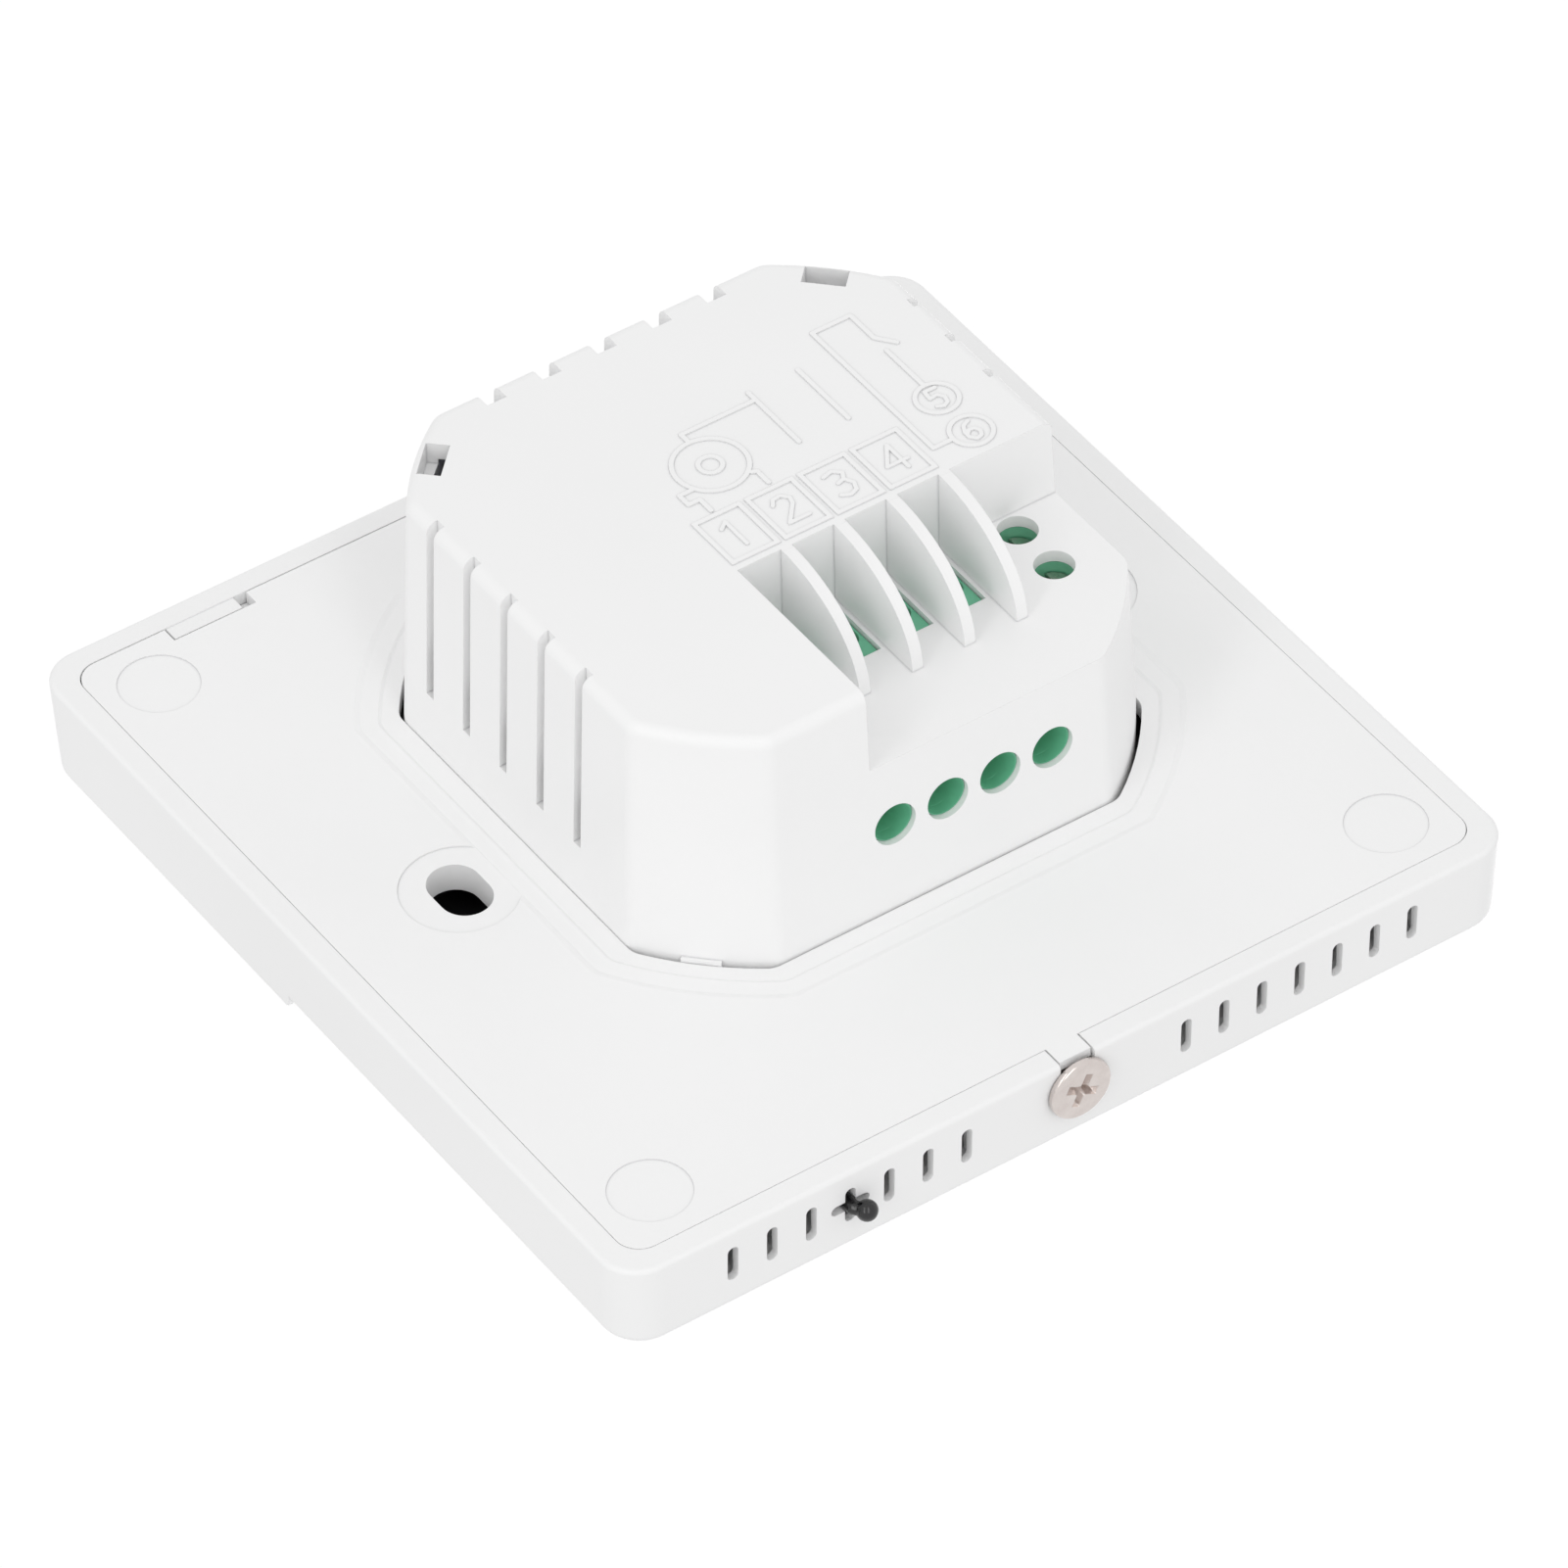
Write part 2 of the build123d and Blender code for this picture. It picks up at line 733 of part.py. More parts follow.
def case_corners():
    reach = screw_ring * math.sqrt(0.5)
    return [(case_x + sx * reach, case_z + sz * reach) for sx in (1, -1) for sz in (1, -1)]


def case_posts():
    limit = case_body(case_half - case_wall / 2, case_radius - case_wall / 2, case_post_top)
    posts = []
    for x, z in case_corners():
        post = rod(x, z, case_post_radius, case_post_top, chassis_back)
        post -= rod(x, z, self_tap_radius + pilot_gap,
                    chassis_front + case_screw_length + post_hole_end, chassis_back)
        posts.append(post & limit)
    return posts


def board_ledges():
    """Blocks on the side walls that the power board's back face bears on."""
    middle = case_half - case_wall / 2 - ledge_depth / 2
    ledges = []
    for side in (1, -1):
        ledges.append(block(case_x + side * middle, case_z + ledge_shift_z, ledge_depth, ledge_length,
                            power_back + ledge_height, power_back))
        ledges.append(block(case_x - side * ledge_shift_x, case_z + middle, ledge_length, ledge_depth,
                            power_back + ledge_height, power_back))
    return ledges


def housing_cuts():
    cuts = []
    hole_mid = (floor_hole_start + floor_hole_end) / 2
    hole_length = floor_hole_start - floor_hole_end
    for x, z, turn in terminals():
        hole = Cylinder(wire_hole_radius, 2 * case_wall + over)
        if turn == 0:
            cuts.append(block(x, hole_mid, floor_hole_width, hole_length,
                              shelf_level + over, shelf_under - over))
            cuts.append(Pos(x, wire_level, case_z - case_half) * hole)
        else:
            cuts.append(rod(x, z, access_radius, shelf_level + over, shelf_under - over))
            cuts.append(Pos(case_x - case_half, wire_level, z) * Rot(0, 90, 0) * hole)
    for side in (1, -1):
        for i in range(slit_counts[side]):
            z = case_z + slit_first - i * slit_pitch
            outer = case_x + side * (case_half + over)
            inner = case_x + side * (half_at(case_height) - slit_depth)
            cuts.append(block((outer + inner) / 2, z, abs(outer - inner), slit_width,
                              case_height + over, slit_start))
    for i in range(notch_count):
        x = notch_x + (i - (notch_count - 1) / 2) * notch_pitch
        outer = case_z + case_half + over
        inner = case_z + half_at(case_height) - notch_depth
        cuts.append(block(x, (outer + inner) / 2, notch_width, outer - inner,
                          case_height + over, slit_start))
    for side in (1, -1):
        reach = corner_slot_distance * math.sqrt(0.5)
        slot = Rot(0, side * 45, 0) * Box(corner_slot_length, 2 * case_wall + over, corner_slot_width)
        cuts.append(Pos(case_x + side * reach, case_height, case_z + reach) * slot)
    return cuts


def inner_chassis():
    half = cavity_half - chassis_gap
    plate = slab(squircle(half, plate_corner), chassis_back, chassis_front)
    opening = Rectangle(2 * chassis_opening_half, 2 * chassis_opening_half) & Circle(chassis_opening_radius)
    plate -= slab(Pos(case_x, case_z) * opening, chassis_back + over, chassis_front - over)
    plate -= block(0, -half, 2 * (corner_post - post_radius - chassis_foot_margin), 2 * chassis_foot,
                   chassis_back + over, chassis_front - over)
    for x, outer, inner in wells:
        away = 1 if x > 0 else -1
        middle = x + away * (outer - inner) / 2
        width = outer + inner
        height = 2 * well_half_z
        cup = block(middle, slot_centre_z, width + 2 * well_wall, height + 2 * well_wall,
                    chassis_front, well_floor - well_wall)
        plate += cup
        plate -= block(middle, slot_centre_z, width, height, chassis_back + over, well_floor)
    for x, z in board_rests():
        plate += rod(x, z, rest_radius, chassis_front, control_back)
    for x, z in power_props():
        plate += rod(x, z, prop_radius, power_front, chassis_back)
    for x, z in case_corners():
        plate -= countersink(x, z, chassis_front, 1)
    for x, z in chassis_corners():
        plate -= countersink(x, z, chassis_back, -1)
    return plate


def power_props():
    """Places where the chassis holds the power board from the front."""
    reach = chassis_opening_half + prop_radius + prop_margin
    return [(case_x + side * reach, case_z + up) for side in (1, -1) for up in prop_shifts]


def countersink(x, z, head_level, direction):
    """Room for a screw with its head flush at head_level, pointing along direction * y."""
    bore = countersunk(pilot_gap, 3 * chassis_thickness)
    return Pos(x, head_level, z) * Rot(-90 * direction, 0, 0) * bore


def countersunk(gap, length):
    """Cone of a countersunk head on a round bar, grown by a gap."""
    upward = (Align.CENTER, Align.CENTER, Align.MIN)
    cone = Cone(self_tap_head + gap, self_tap_radius + gap, self_tap_head - self_tap_radius, align=upward)
    return cone + Cylinder(self_tap_radius + gap, length, align=upward)


def self_tapper(x, z, head_level, direction, length):
    """Countersunk screw, head flush at head_level, pointing along direction * y."""
    recess = cross_recess(self_tap_head * tap_recess_share, tap_recess_depth)
    screw = countersunk(0, length) - Rot(180, 0, 0) * recess
    return Pos(x, head_level, z) * Rot(-90 * direction, 0, 0) * screw


def chassis_screws():
    screws = [self_tapper(x, z, chassis_back, -1, chassis_screw_length) for x, z in chassis_corners()]
    return Compound(children=screws)


def housing_screws():
    screws = [self_tapper(x, z, chassis_front, 1, case_screw_length) for x, z in case_corners()]
    return Compound(children=screws)


def control_board():
    foot = -cavity_half + control_foot
    middle = (control_top + foot) / 2
    board = block(0, middle, 2 * control_half_x, control_top - foot, control_back, control_front)
    back = control_back + over
    front = control_front - over
    for x, z in chassis_corners():
        board -= rod(x, z, post_radius + board_hole_gap, back, front)
    for x, outer, inner in wells:
        away = 1 if x > 0 else -1
        near = x - away * (inner + well_wall + well_room)
        far = away * (control_half_x + over)
        board -= block((near + far) / 2, slot_centre_z, abs(far - near),
                       2 * (well_half_z + well_wall + well_room), back, front)
    return board - block(0, foot, lug_width + 2 * lug_room_side, 2 * lug_room_depth, back, front)


def power_board():
    half = case_half - case_wall - power_gap
    radius = case_radius - case_wall - power_gap
    board = slab(case_outline(half, radius), power_back, power_front)
    for x, z in case_corners():
        board -= rod(x, z, case_post_radius + post_room, power_back + over, power_front - over)
    return board


def on_power(at, size):
    """Body of a part that stands on the power board."""
    body = block(at[0], at[1], size[0], size[1], power_back + size[2], power_back)
    return fillet(body.edges().filter_by(Axis.Y), part_round)


def can(spec):
    """Round capacitor: sleeve with rolled rim and scored top."""
    x, z, radius, height = spec
    body = rod(x, z, radius, power_back + height, power_back)
    top = power_back + height
    body -= rod(x, z, radius - can_rim, top + over, top - can_top_dip)
    front, back = [power_back + level for level in can_groove]
    groove = rod(x, z, radius + over, back, front) - rod(x, z, radius - can_groove_depth, back, front)
    return body - groove


def transformer_window():
    """Levels of y between which the core is open for the winding."""
    height = transformer_size[2]
    foot = power_back + core_lift
    return foot + height * window_low, power_back + height * window_high


def transformer_core():
    width, depth, height = transformer_size
    x, z = transformer_at
    front, back = transformer_window()
    frame = block(x, z, width, depth * core_share, power_back + height, power_back + core_lift)
    return frame - block(x, z, width * window_width, depth, back, front)


def transformer_winding():
    width, depth, height = transformer_size
    x, z = transformer_at
    front, back = transformer_window()
    coil = block(x, z, width * coil_width, depth * coil_depth, back - coil_gap, front + coil_gap)
    coil = fillet(coil.edges().filter_by(Axis.Y), coil_round)
    feet = [block(x, z + side * depth * coil_foot_place, width * coil_foot_width, depth * coil_foot_depth,
                  front + 2 * coil_gap, power_back) for side in (1, -1)]
    return coil + feet


def varistor():
    x, z = varistor_at
    width, depth, height = varistor_size
    disc = Pos(x, power_back + height - width / 2, z) * Cylinder(width / 2, depth)
    disc = fillet(disc.edges(), depth * varistor_round)
    legs = [block(x + side * width / 4, z, varistor_leg, varistor_leg, power_back + height / 3, power_back)
            for side in (1, -1)]
    return disc + legs


def chip():
    x, z = chip_at
    body = block(x, z, chip_size[0], chip_size[1], control_back + chip_size[2], control_back)
    return chamfer(body.edges().group_by(Axis.Y)[-1], chip_edge)


def wifi_module():
    x, z = wifi_at
    top = control_back + wifi_size[2]
    carrier = block(x, z, wifi_size[0], wifi_size[1], top, control_back)
    return carrier + block(x, z - wifi_can_shift, wifi_can_size[0], wifi_can_size[1],
                           top + wifi_can_size[2], top)


def header_xs():
    return [header_at[0] + (i - (header_pins - 1) / 2) * header_pitch for i in range(header_pins)]


def board_header():
    body = block(header_at[0], header_at[1], header_pins * header_pitch, header_pitch,
                 power_front, power_front - header_body)
    pins = [block(x, header_at[1], header_pin, header_pin, power_front, control_back + pin_end)
            for x in header_xs()]
    return body + pins


def board_socket():
    body = block(header_at[0], header_at[1], header_pins * header_pitch, header_pitch,
                 control_back + socket_height, control_back)
    for x in header_xs():
        body -= block(x, header_at[1], header_pin + pin_room, header_pin + pin_room,
                      control_back + socket_height + over, control_back + socket_floor)
    return body


def terminal_cell_cuts(wire_face):
    """Room for one cage, screw, contact and wire, with the wire face at a distance from the screw."""
    room_x = cage_width + 2 * cage_clearance
    room_z = cage_length + 2 * cage_clearance
    cuts = [block(0, 0, room_x, room_z, cage_top_limit, cage_bottom - cage_clearance)]
    cuts.append(rod(0, 0, term_shank_radius + term_well_gap, block_top, cage_top_limit - over))
    cuts.append(rod(0, 0, term_head_radius + term_well_gap, block_top + over, head_under))
    cuts.append(wire_funnel(wire_face))
    return cuts


def wire_funnel(wire_face):
    """Way in for the wire: a slanting funnel from the collar's end, then the straight throat."""
    room_z = cage_length + 2 * cage_clearance
    mouth = wire_plane(wire_level, -wire_face - collar_length) * Circle(collar_radius - collar_lip)
    throat_at = -wire_face + min(funnel_length, (wire_face - room_z / 2) * funnel_share)
    throat = wire_plane(throat_level, throat_at) * Circle(throat_radius)
    return loft([mouth, throat]) + extrude(throat, amount=-throat_at - room_z / 2 + throat_overlap)


def wire_plane(y, z):
    return Plane(origin=(0, y, z), x_dir=(1, 0, 0), z_dir=(0, 0, 1))


def wire_collars(count, wire_face):
    """Rings that stand in the case's wire holes and carry the funnels' mouths."""
    rings = []
    for i in range(count):
        disc = wire_plane(wire_level, -wire_face - collar_length) * Circle(collar_radius)
        ring_solid = extrude(disc, amount=collar_length + collar_root) - wire_funnel(wire_face)
        rings.append(Pos(-i * terminal_pitch, 0, 0) * ring_solid)
    return rings


def screw_bosses(count):
    """Raised parts of the block that fill the pocket floors round the screws."""
    bosses = []
    hole_mid = (floor_hole_start + floor_hole_end) / 2 - main_screw_z
    hole_length = floor_hole_start - floor_hole_end - 2 * boss_gap
    for i in range(count):
        boss = block(0, hole_mid, floor_hole_width - 2 * boss_gap, hole_length,
                     shelf_level - boss_set_back, block_top)
        boss -= rod(0, 0, boss_well_radius, shelf_level, block_top - over)
        bosses.append(Pos(-i * terminal_pitch, 0, 0) * boss)
    return bosses


def terminal_block(count, wire_face):
    """Insulating body for a row of terminals, made with its first screw at x = z = 0."""
    length = count * terminal_pitch
    middle = -(length - terminal_pitch) / 2
    body = block(middle, (block_back - wire_face) / 2, length, wire_face + block_back, block_top, power_back)
    body = chamfer(body.edges().filter_by(Axis.X).group_by(Axis.Y)[-1], block_edge)
    for i in range(count):
        for cut in terminal_cell_cuts(wire_face):
            body -= Pos(-i * terminal_pitch, 0, 0) * cut
        body -= Pos(-i * terminal_pitch, 0, 0) * contact(contact_gap)
    return body


def contact(gap):
    """Fixed bar that the wire is pressed against, with its leg to the board."""
    width = bar_width + 2 * gap
    reach = cage_length / 2 + cage_clearance
    leg = reach + 2 * bar_thickness
    bar = block(0, (leg - cage_length / 2) / 2, width, leg + cage_length / 2,
                bar_top + gap, bar_top - bar_thickness - gap)
    upright = block(0, leg - bar_thickness / 2, width, bar_thickness + 2 * gap,
                    bar_top + gap, power_back)
    bore = rod(0, 0, term_shank_radius + term_well_gap - gap, bar_top + over, bar_top - 2 * over)
    return bar + upright - bore


inner_reach = case_half - case_wall - block_gap


def block_room():
    """Inside of the case less the gap, so that a block keeps clear of the drafted walls."""
    return case_body(inner_reach, case_radius - case_wall - block_gap, shelf_level)


# Collars reach from the block's face to just inside the case's outer face
collar_radius = wire_hole_radius - collar_gap
collar_length = case_wall + block_gap - case_draft * wire_level - collar_set_back


def terminal_block_main():
    wire_face = main_screw_z - (case_z - inner_reach)
    body = placed(terminal_block(main_count, wire_face), terminal_1_x, main_screw_z, 0) & block_room()
    for piece in wire_collars(main_count, wire_face) + screw_bosses(main_count):
        body += placed(piece, terminal_1_x, main_screw_z, 0)
    return body


def terminal_block_dry():
    wire_face = dry_screw_x - (case_x - inner_reach)
    first_z = dry_screw_z - (dry_count - 1) * terminal_pitch
    body = placed(terminal_block(dry_count, wire_face), dry_screw_x, first_z, 90) & block_room()
    for piece in wire_collars(dry_count, wire_face):
        body += placed(piece, dry_screw_x, first_z, 90)
    return body


def terminal_contacts():
    return Compound(children=[placed(contact(0), x, z, turn) for x, z, turn in terminals()])


def terminal_screw(x, z, turn):
    head = rod(0, 0, term_head_radius, head_under + term_head_thickness, head_under)
    shank = rod(0, 0, term_shank_radius, head_under, bar_top - bar_thickness)
    head_top = head_under + term_head_thickness
    cut = block(0, 0, 3 * term_head_radius, slot_cut, block_top, head_top - slot_cut_depth)
    return placed(head + shank - cut, x, z, turn)


def terminal_clamp(x, z, turn):
    """Rising cage: a frame that the screw lifts, with the wire inside it."""
    cage = block(0, 0, cage_width, cage_length, cage_top, cage_bottom)
    cage -= block(0, 0, cage_width - 2 * cage_wall, cage_length + over, cage_top - cage_cap, cage_inner)
    cage -= rod(0, 0, term_shank_radius + thread_clearance, cage_top + over, cage_top - cage_cap - over)
    return placed(cage, x, z, turn)


nodes = {
    "front_shell": front_shell,
    "display_lens": display_lens,
    "lcd_panel": lcd_panel,
    "backlight": backlight,
    "touch_pads": touch_pads,
    "control_board": control_board,
    "processor_chip": chip,
    "wifi_module": wifi_module,
    "board_socket": board_socket,
    "sensor_bead": sensor_bead,
    "sensor_leads": sensor_leads,
    "inner_chassis": inner_chassis,
    "chassis_screws": chassis_screws,
    "housing_screws": housing_screws,
    "rear_housing": rear_housing,
    "power_board": power_board,
    "board_header": board_header,
    "transformer_core": transformer_core,
    "transformer_winding": transformer_winding,
    "filter_capacitor": lambda: can(filter_cap),
    "output_capacitor": lambda: can(output_cap),
    "varistor": varistor,
    "fuse": lambda: on_power(fuse_at, fuse_size),
    "bridge_rectifier": lambda: on_power(bridge_at, bridge_size),
    "terminal_block_main": terminal_block_main,
    "terminal_block_dry": terminal_block_dry,
    "terminal_contacts": terminal_contacts,
    "mounting_plate": mounting_plate,
    "lock_insert": lock_insert,
    "lock_screw": lock_screw,
}
for number in range(3):
    place = (relay_first_x + number * relay_pitch, relay_z)
    nodes["relay_%d" % (number + 1)] = lambda place=place: on_power(place, relay_size)
for number, place in enumerate(terminals()):
    nodes["terminal_screw_%d" % (number + 1)] = lambda place=place: terminal_screw(*place)
    nodes["terminal_clamp_%d" % (number + 1)] = lambda place=place: terminal_clamp(*place)

os.makedirs("parts", exist_ok=True)
for name, make in nodes.items():
    export_step(make(), "parts/%s.step" % name)
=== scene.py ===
import json
import math

import bmesh
import bpy
from mathutils import Matrix, Vector


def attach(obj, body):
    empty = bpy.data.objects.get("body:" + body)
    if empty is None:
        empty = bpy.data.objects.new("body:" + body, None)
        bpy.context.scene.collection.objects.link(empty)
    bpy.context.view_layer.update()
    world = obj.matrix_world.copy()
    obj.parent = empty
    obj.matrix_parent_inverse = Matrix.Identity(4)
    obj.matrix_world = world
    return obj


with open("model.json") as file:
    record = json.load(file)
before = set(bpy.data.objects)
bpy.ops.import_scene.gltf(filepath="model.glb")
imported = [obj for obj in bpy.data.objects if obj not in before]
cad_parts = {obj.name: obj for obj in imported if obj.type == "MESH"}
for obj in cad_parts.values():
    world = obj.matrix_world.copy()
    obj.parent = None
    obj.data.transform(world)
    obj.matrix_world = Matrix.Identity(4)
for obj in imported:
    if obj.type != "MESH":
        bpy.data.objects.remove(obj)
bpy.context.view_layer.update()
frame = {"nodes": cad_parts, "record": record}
print("frame loaded with", len(frame["nodes"]), "nodes")

mm = 0.001


def linearColour(hexCode):
    # sRGB hex to linear RGBA
    channels = [int(hexCode[i:i + 2], 16) / 255 for i in (1, 3, 5)]
    return [c / 12.92 if c <= 0.04045 else ((c + 0.055) / 1.055) ** 2.4 for c in channels] + [1.0]


def addNode(tree, kind, inputs=None, **settings):
    # one node with its settings, its values and its links
    node = tree.nodes.new(kind)
    for name, value in settings.items():
        setattr(node, name, value)
    for key, value in (inputs or {}).items():
        socket = node.inputs[key]
        if isinstance(value, bpy.types.NodeSocket):
            tree.links.new(value, socket)
        elif isinstance(value, str):
            socket.default_value = linearColour(value)
        else:
            socket.default_value = value
    return node


def startMaterial(name, values):
    # an empty material with one Principled shader, and the object coordinates
    material = bpy.data.materials.new(name)
    material.use_nodes = True
    tree = material.node_tree
    tree.nodes.clear()
    shader = addNode(tree, "ShaderNodeBsdfPrincipled", values)
    addNode(tree, "ShaderNodeOutputMaterial", {"Surface": shader.outputs["BSDF"]})
    place = addNode(tree, "ShaderNodeTexCoord").outputs["Object"]
    return material, tree, shader, place


def boxOf(name):
    # lowest and highest corner of a node of the frame, in millimetres
    node = frame["nodes"][name]
    corners = [node.matrix_world @ Vector(corner) / mm for corner in node.bound_box]
    return [Vector([pick(corner[i] for corner in corners) for i in range(3)]) for pick in (min, max)]


def bandScale(periodMm):
    # Blender's bands repeat every 2 pi / 20 of a unit
    return 2 * math.pi / 20 / (periodMm * mm)


# What all plastics share: how uneven tone, gloss and grain are, where the painted crease shade starts and
# ends, and rays for it and for the edges
plasticLook = {"patchDetail": 3.0, "patchMix": 0.55, "patchLow": 0.3, "patchHigh": 0.7,
               "glossier": -0.04, "duller": 0.05, "grainDetail": 2.0, "grainMix": 0.6,
               "paintedShadeFull": 0.45, "paintedShadeEnd": 0.9, "rays": 6}


def mouldedPlastic(name, finish):
    # patches of slightly different tone and gloss, a fine grain, and softened edges; pale
    # plastics get painted shade in their creases, matched to the raised marks of the photograph
    look = plasticLook
    material, tree, shader, place = startMaterial(name, {"IOR": finish["ior"]})
    patches = addNode(tree, "ShaderNodeTexNoise", {
        "Vector": place, "Scale": 1 / (finish["patchMm"] * mm),
        "Detail": look["patchDetail"], "Roughness": look["patchMix"]}).outputs["Fac"]
    tone = addNode(tree, "ShaderNodeMix", {
        "Factor": patches, "A": finish["colour"], "B": finish["shade"]}, data_type="RGBA")
    # painted shade: the colour turns to the crease colour where nearby surfaces close in, found by a short
    # occlusion test
    if "paintedShadeMm" in finish:
        openness = addNode(tree, "ShaderNodeAmbientOcclusion", {
            "Distance": finish["paintedShadeMm"] * mm}, samples=look["rays"], only_local=True)
        paintedShadeMix = addNode(tree, "ShaderNodeMapRange", {
            "Value": openness.outputs["AO"],
            "From Min": look["paintedShadeFull"], "From Max": look["paintedShadeEnd"]})
        tone = addNode(tree, "ShaderNodeMix", {
            "Factor": paintedShadeMix.outputs["Result"], "A": finish["paintedShadeColour"],
            "B": tone.outputs["Result"]}, data_type="RGBA")
    tree.links.new(tone.outputs["Result"], shader.inputs["Base Color"])
    gloss = addNode(tree, "ShaderNodeMapRange", {
        "Value": patches, "From Min": look["patchLow"], "From Max": look["patchHigh"],
        "To Min": finish["roughness"] + look["glossier"],
        "To Max": finish["roughness"] + look["duller"]})
    tree.links.new(gloss.outputs["Result"], shader.inputs["Roughness"])
    grain = addNode(tree, "ShaderNodeTexNoise", {
        "Vector": place, "Scale": 1 / (finish["grainMm"] * mm),
        "Detail": look["grainDetail"], "Roughness": look["grainMix"]})
    edge = addNode(tree, "ShaderNodeBevel", {"Radius": finish["edgeMm"] * mm}, samples=look["rays"])
    bump = addNode(tree, "ShaderNodeBump", {
        "Strength": 1.0, "Distance": finish["grainDepthMm"] * mm,
        "Height": grain.outputs["Fac"], "Normal": edge.outputs["Normal"]})
    tree.links.new(bump.outputs["Normal"], shader.inputs["Normal"])
    return material


# What all metals share; the squash packs the lines twelve times closer along the height
metalLook = {"patchDetail": 4.0, "patchMix": 0.6, "patchLow": 0.3, "patchHigh": 0.7,
             "glossier": -0.07, "duller": 0.1, "lineDetail": 2.0, "squash": 12.0, "rays": 6}


def finishedMetal(name, finish):
    # plating over machined or stamped metal: dull patches, hairlines and soft edges
    look = metalLook
    material, tree, shader, place = startMaterial(name, {"Metallic": 1.0})
    dull = addNode(tree, "ShaderNodeTexNoise", {
        "Vector": place, "Scale": 1 / (finish["patchMm"] * mm),
        "Detail": look["patchDetail"], "Roughness": look["patchMix"]}).outputs["Fac"]
    tone = addNode(tree, "ShaderNodeMix", {
        "Factor": dull, "A": finish["colour"], "B": finish["shade"]}, data_type="RGBA")
    tree.links.new(tone.outputs["Result"], shader.inputs["Base Color"])
    gloss = addNode(tree, "ShaderNodeMapRange", {
        "Value": dull, "From Min": look["patchLow"], "From Max": look["patchHigh"],
        "To Min": finish["roughness"] + look["glossier"],
        "To Max": finish["roughness"] + look["duller"]})
    tree.links.new(gloss.outputs["Result"], shader.inputs["Roughness"])
    hairlines = addNode(tree, "ShaderNodeMapping", {"Vector": place, "Scale": (1.0, 1.0, look["squash"])})
    lines = addNode(tree, "ShaderNodeTexNoise", {
        "Vector": hairlines.outputs["Vector"], "Scale": 1 / (finish["lineMm"] * mm),
        "Detail": look["lineDetail"]})
    edge = addNode(tree, "ShaderNodeBevel", {"Radius": finish["edgeMm"] * mm}, samples=look["rays"])
    bump = addNode(tree, "ShaderNodeBump", {
        "Strength": 1.0, "Distance": finish["lineDepthMm"] * mm,
        "Height": lines.outputs["Fac"], "Normal": edge.outputs["Normal"]})
    tree.links.new(bump.outputs["Normal"], shader.inputs["Normal"])
    return material


finishes = {}

# ABS, injection moulded in a finely spark-eroded tool: an even satin white with soft edges.
# The 0.1 mm grain is drawn 0.22 mm wide, so that it shows.
# The third colour is painted shade, laid in the creases within 0.25 mm of closing surfaces.
shellAbs = {"colour": "#F8F8F8", "shade": "#F4F4F4", "paintedShadeColour": "#E8E8E9", "paintedShadeMm": 0.25,
            "roughness": 0.5, "ior": 1.54, "patchMm": 28, "grainMm": 0.22,
            "grainDepthMm": 0.005, "edgeMm": 0.08}
finishes["shell_plastic"] = mouldedPlastic("shellAbsSatin", shellAbs)

# The same ABS from a smoother tool: the case and the plate are a shade glossier.
# The third colour is painted shade in the creases, darker than the shell's, so that the raised marks show
# outlines.
caseAbs = {"colour": "#F9F9F9", "shade": "#F5F5F5", "paintedShadeColour": "#D8D8D9", "paintedShadeMm": 0.25,
           "roughness": 0.46, "ior": 1.54, "patchMm": 22, "grainMm": 0.3,
           "grainDepthMm": 0.004, "edgeMm": 0.06}
finishes["housing_plastic"] = mouldedPlastic("caseAbsSmooth", caseAbs)

# Black ABS of the inner chassis, moulded: deep black with a dull bloom.
chassisAbs = {"colour": "#101011", "shade": "#1B1B1D", "roughness": 0.38, "ior": 1.54,
              "patchMm": 9, "grainMm": 0.25, "grainDepthMm": 0.006, "edgeMm": 0.15}
finishes["chassis_plastic"] = mouldedPlastic("chassisAbsBlack", chassisAbs)

# Polyamide 66 of the terminal blocks, moulded: a saturated green with a waxy gloss.
terminalPolyamide = {"colour": "#7ACBA6", "shade": "#6EBE99", "roughness": 0.36, "ior": 1.53,
                     "patchMm": 4, "grainMm": 0.25, "grainDepthMm": 0.004, "edgeMm": 0.12}
finishes["terminal_green"] = mouldedPlastic("terminalPolyamideGreen", terminalPolyamide)

# PBT relay covers, moulded: a plain dark blue with a little gloss.
relayPbt = {"colour": "#1F3F86", "shade": "#1A3574", "roughness": 0.33, "ior": 1.55,
            "patchMm": 6, "grainMm": 0.3, "grainDepthMm": 0.004, "edgeMm": 0.2}
finishes["relay_case"] = mouldedPlastic("relayPbtBlue", relayPbt)

# Epoxy moulding compound of chips, sockets and the rectifier: matt and slightly grainy.
mouldingCompound = {"colour": "#17171A", "shade": "#232326", "roughness": 0.6, "ior": 1.55,
                    "patchMm": 2.5, "grainMm": 0.12, "grainDepthMm": 0.008, "edgeMm": 0.08}
finishes["chip_epoxy"] = mouldedPlastic("mouldingCompoundBlack", mouldingCompound)

# Epoxy dipped round the sensor bead: a glassy black drop.
dippedEpoxy = {"colour": "#0B0B0C", "shade": "#141416", "roughness": 0.1, "ior": 1.56,
               "patchMm": 1.2, "grainMm": 0.8, "grainDepthMm": 0.02, "edgeMm": 0.2}
finishes["bead_epoxy"] = mouldedPlastic("beadEpoxyDipped", dippedEpoxy)

# Acrylic light guide behind the display, moulded with white pigment: milky and even.
lightGuide = {"colour": "#F1F1EC", "shade": "#E8E8E2", "roughness": 0.3, "ior": 1.49,
              "patchMm": 12, "grainMm": 0.4, "grainDepthMm": 0.004, "edgeMm": 0.1}
finishes["diffuser"] = mouldedPlastic("lightGuideAcrylic", lightGuide)

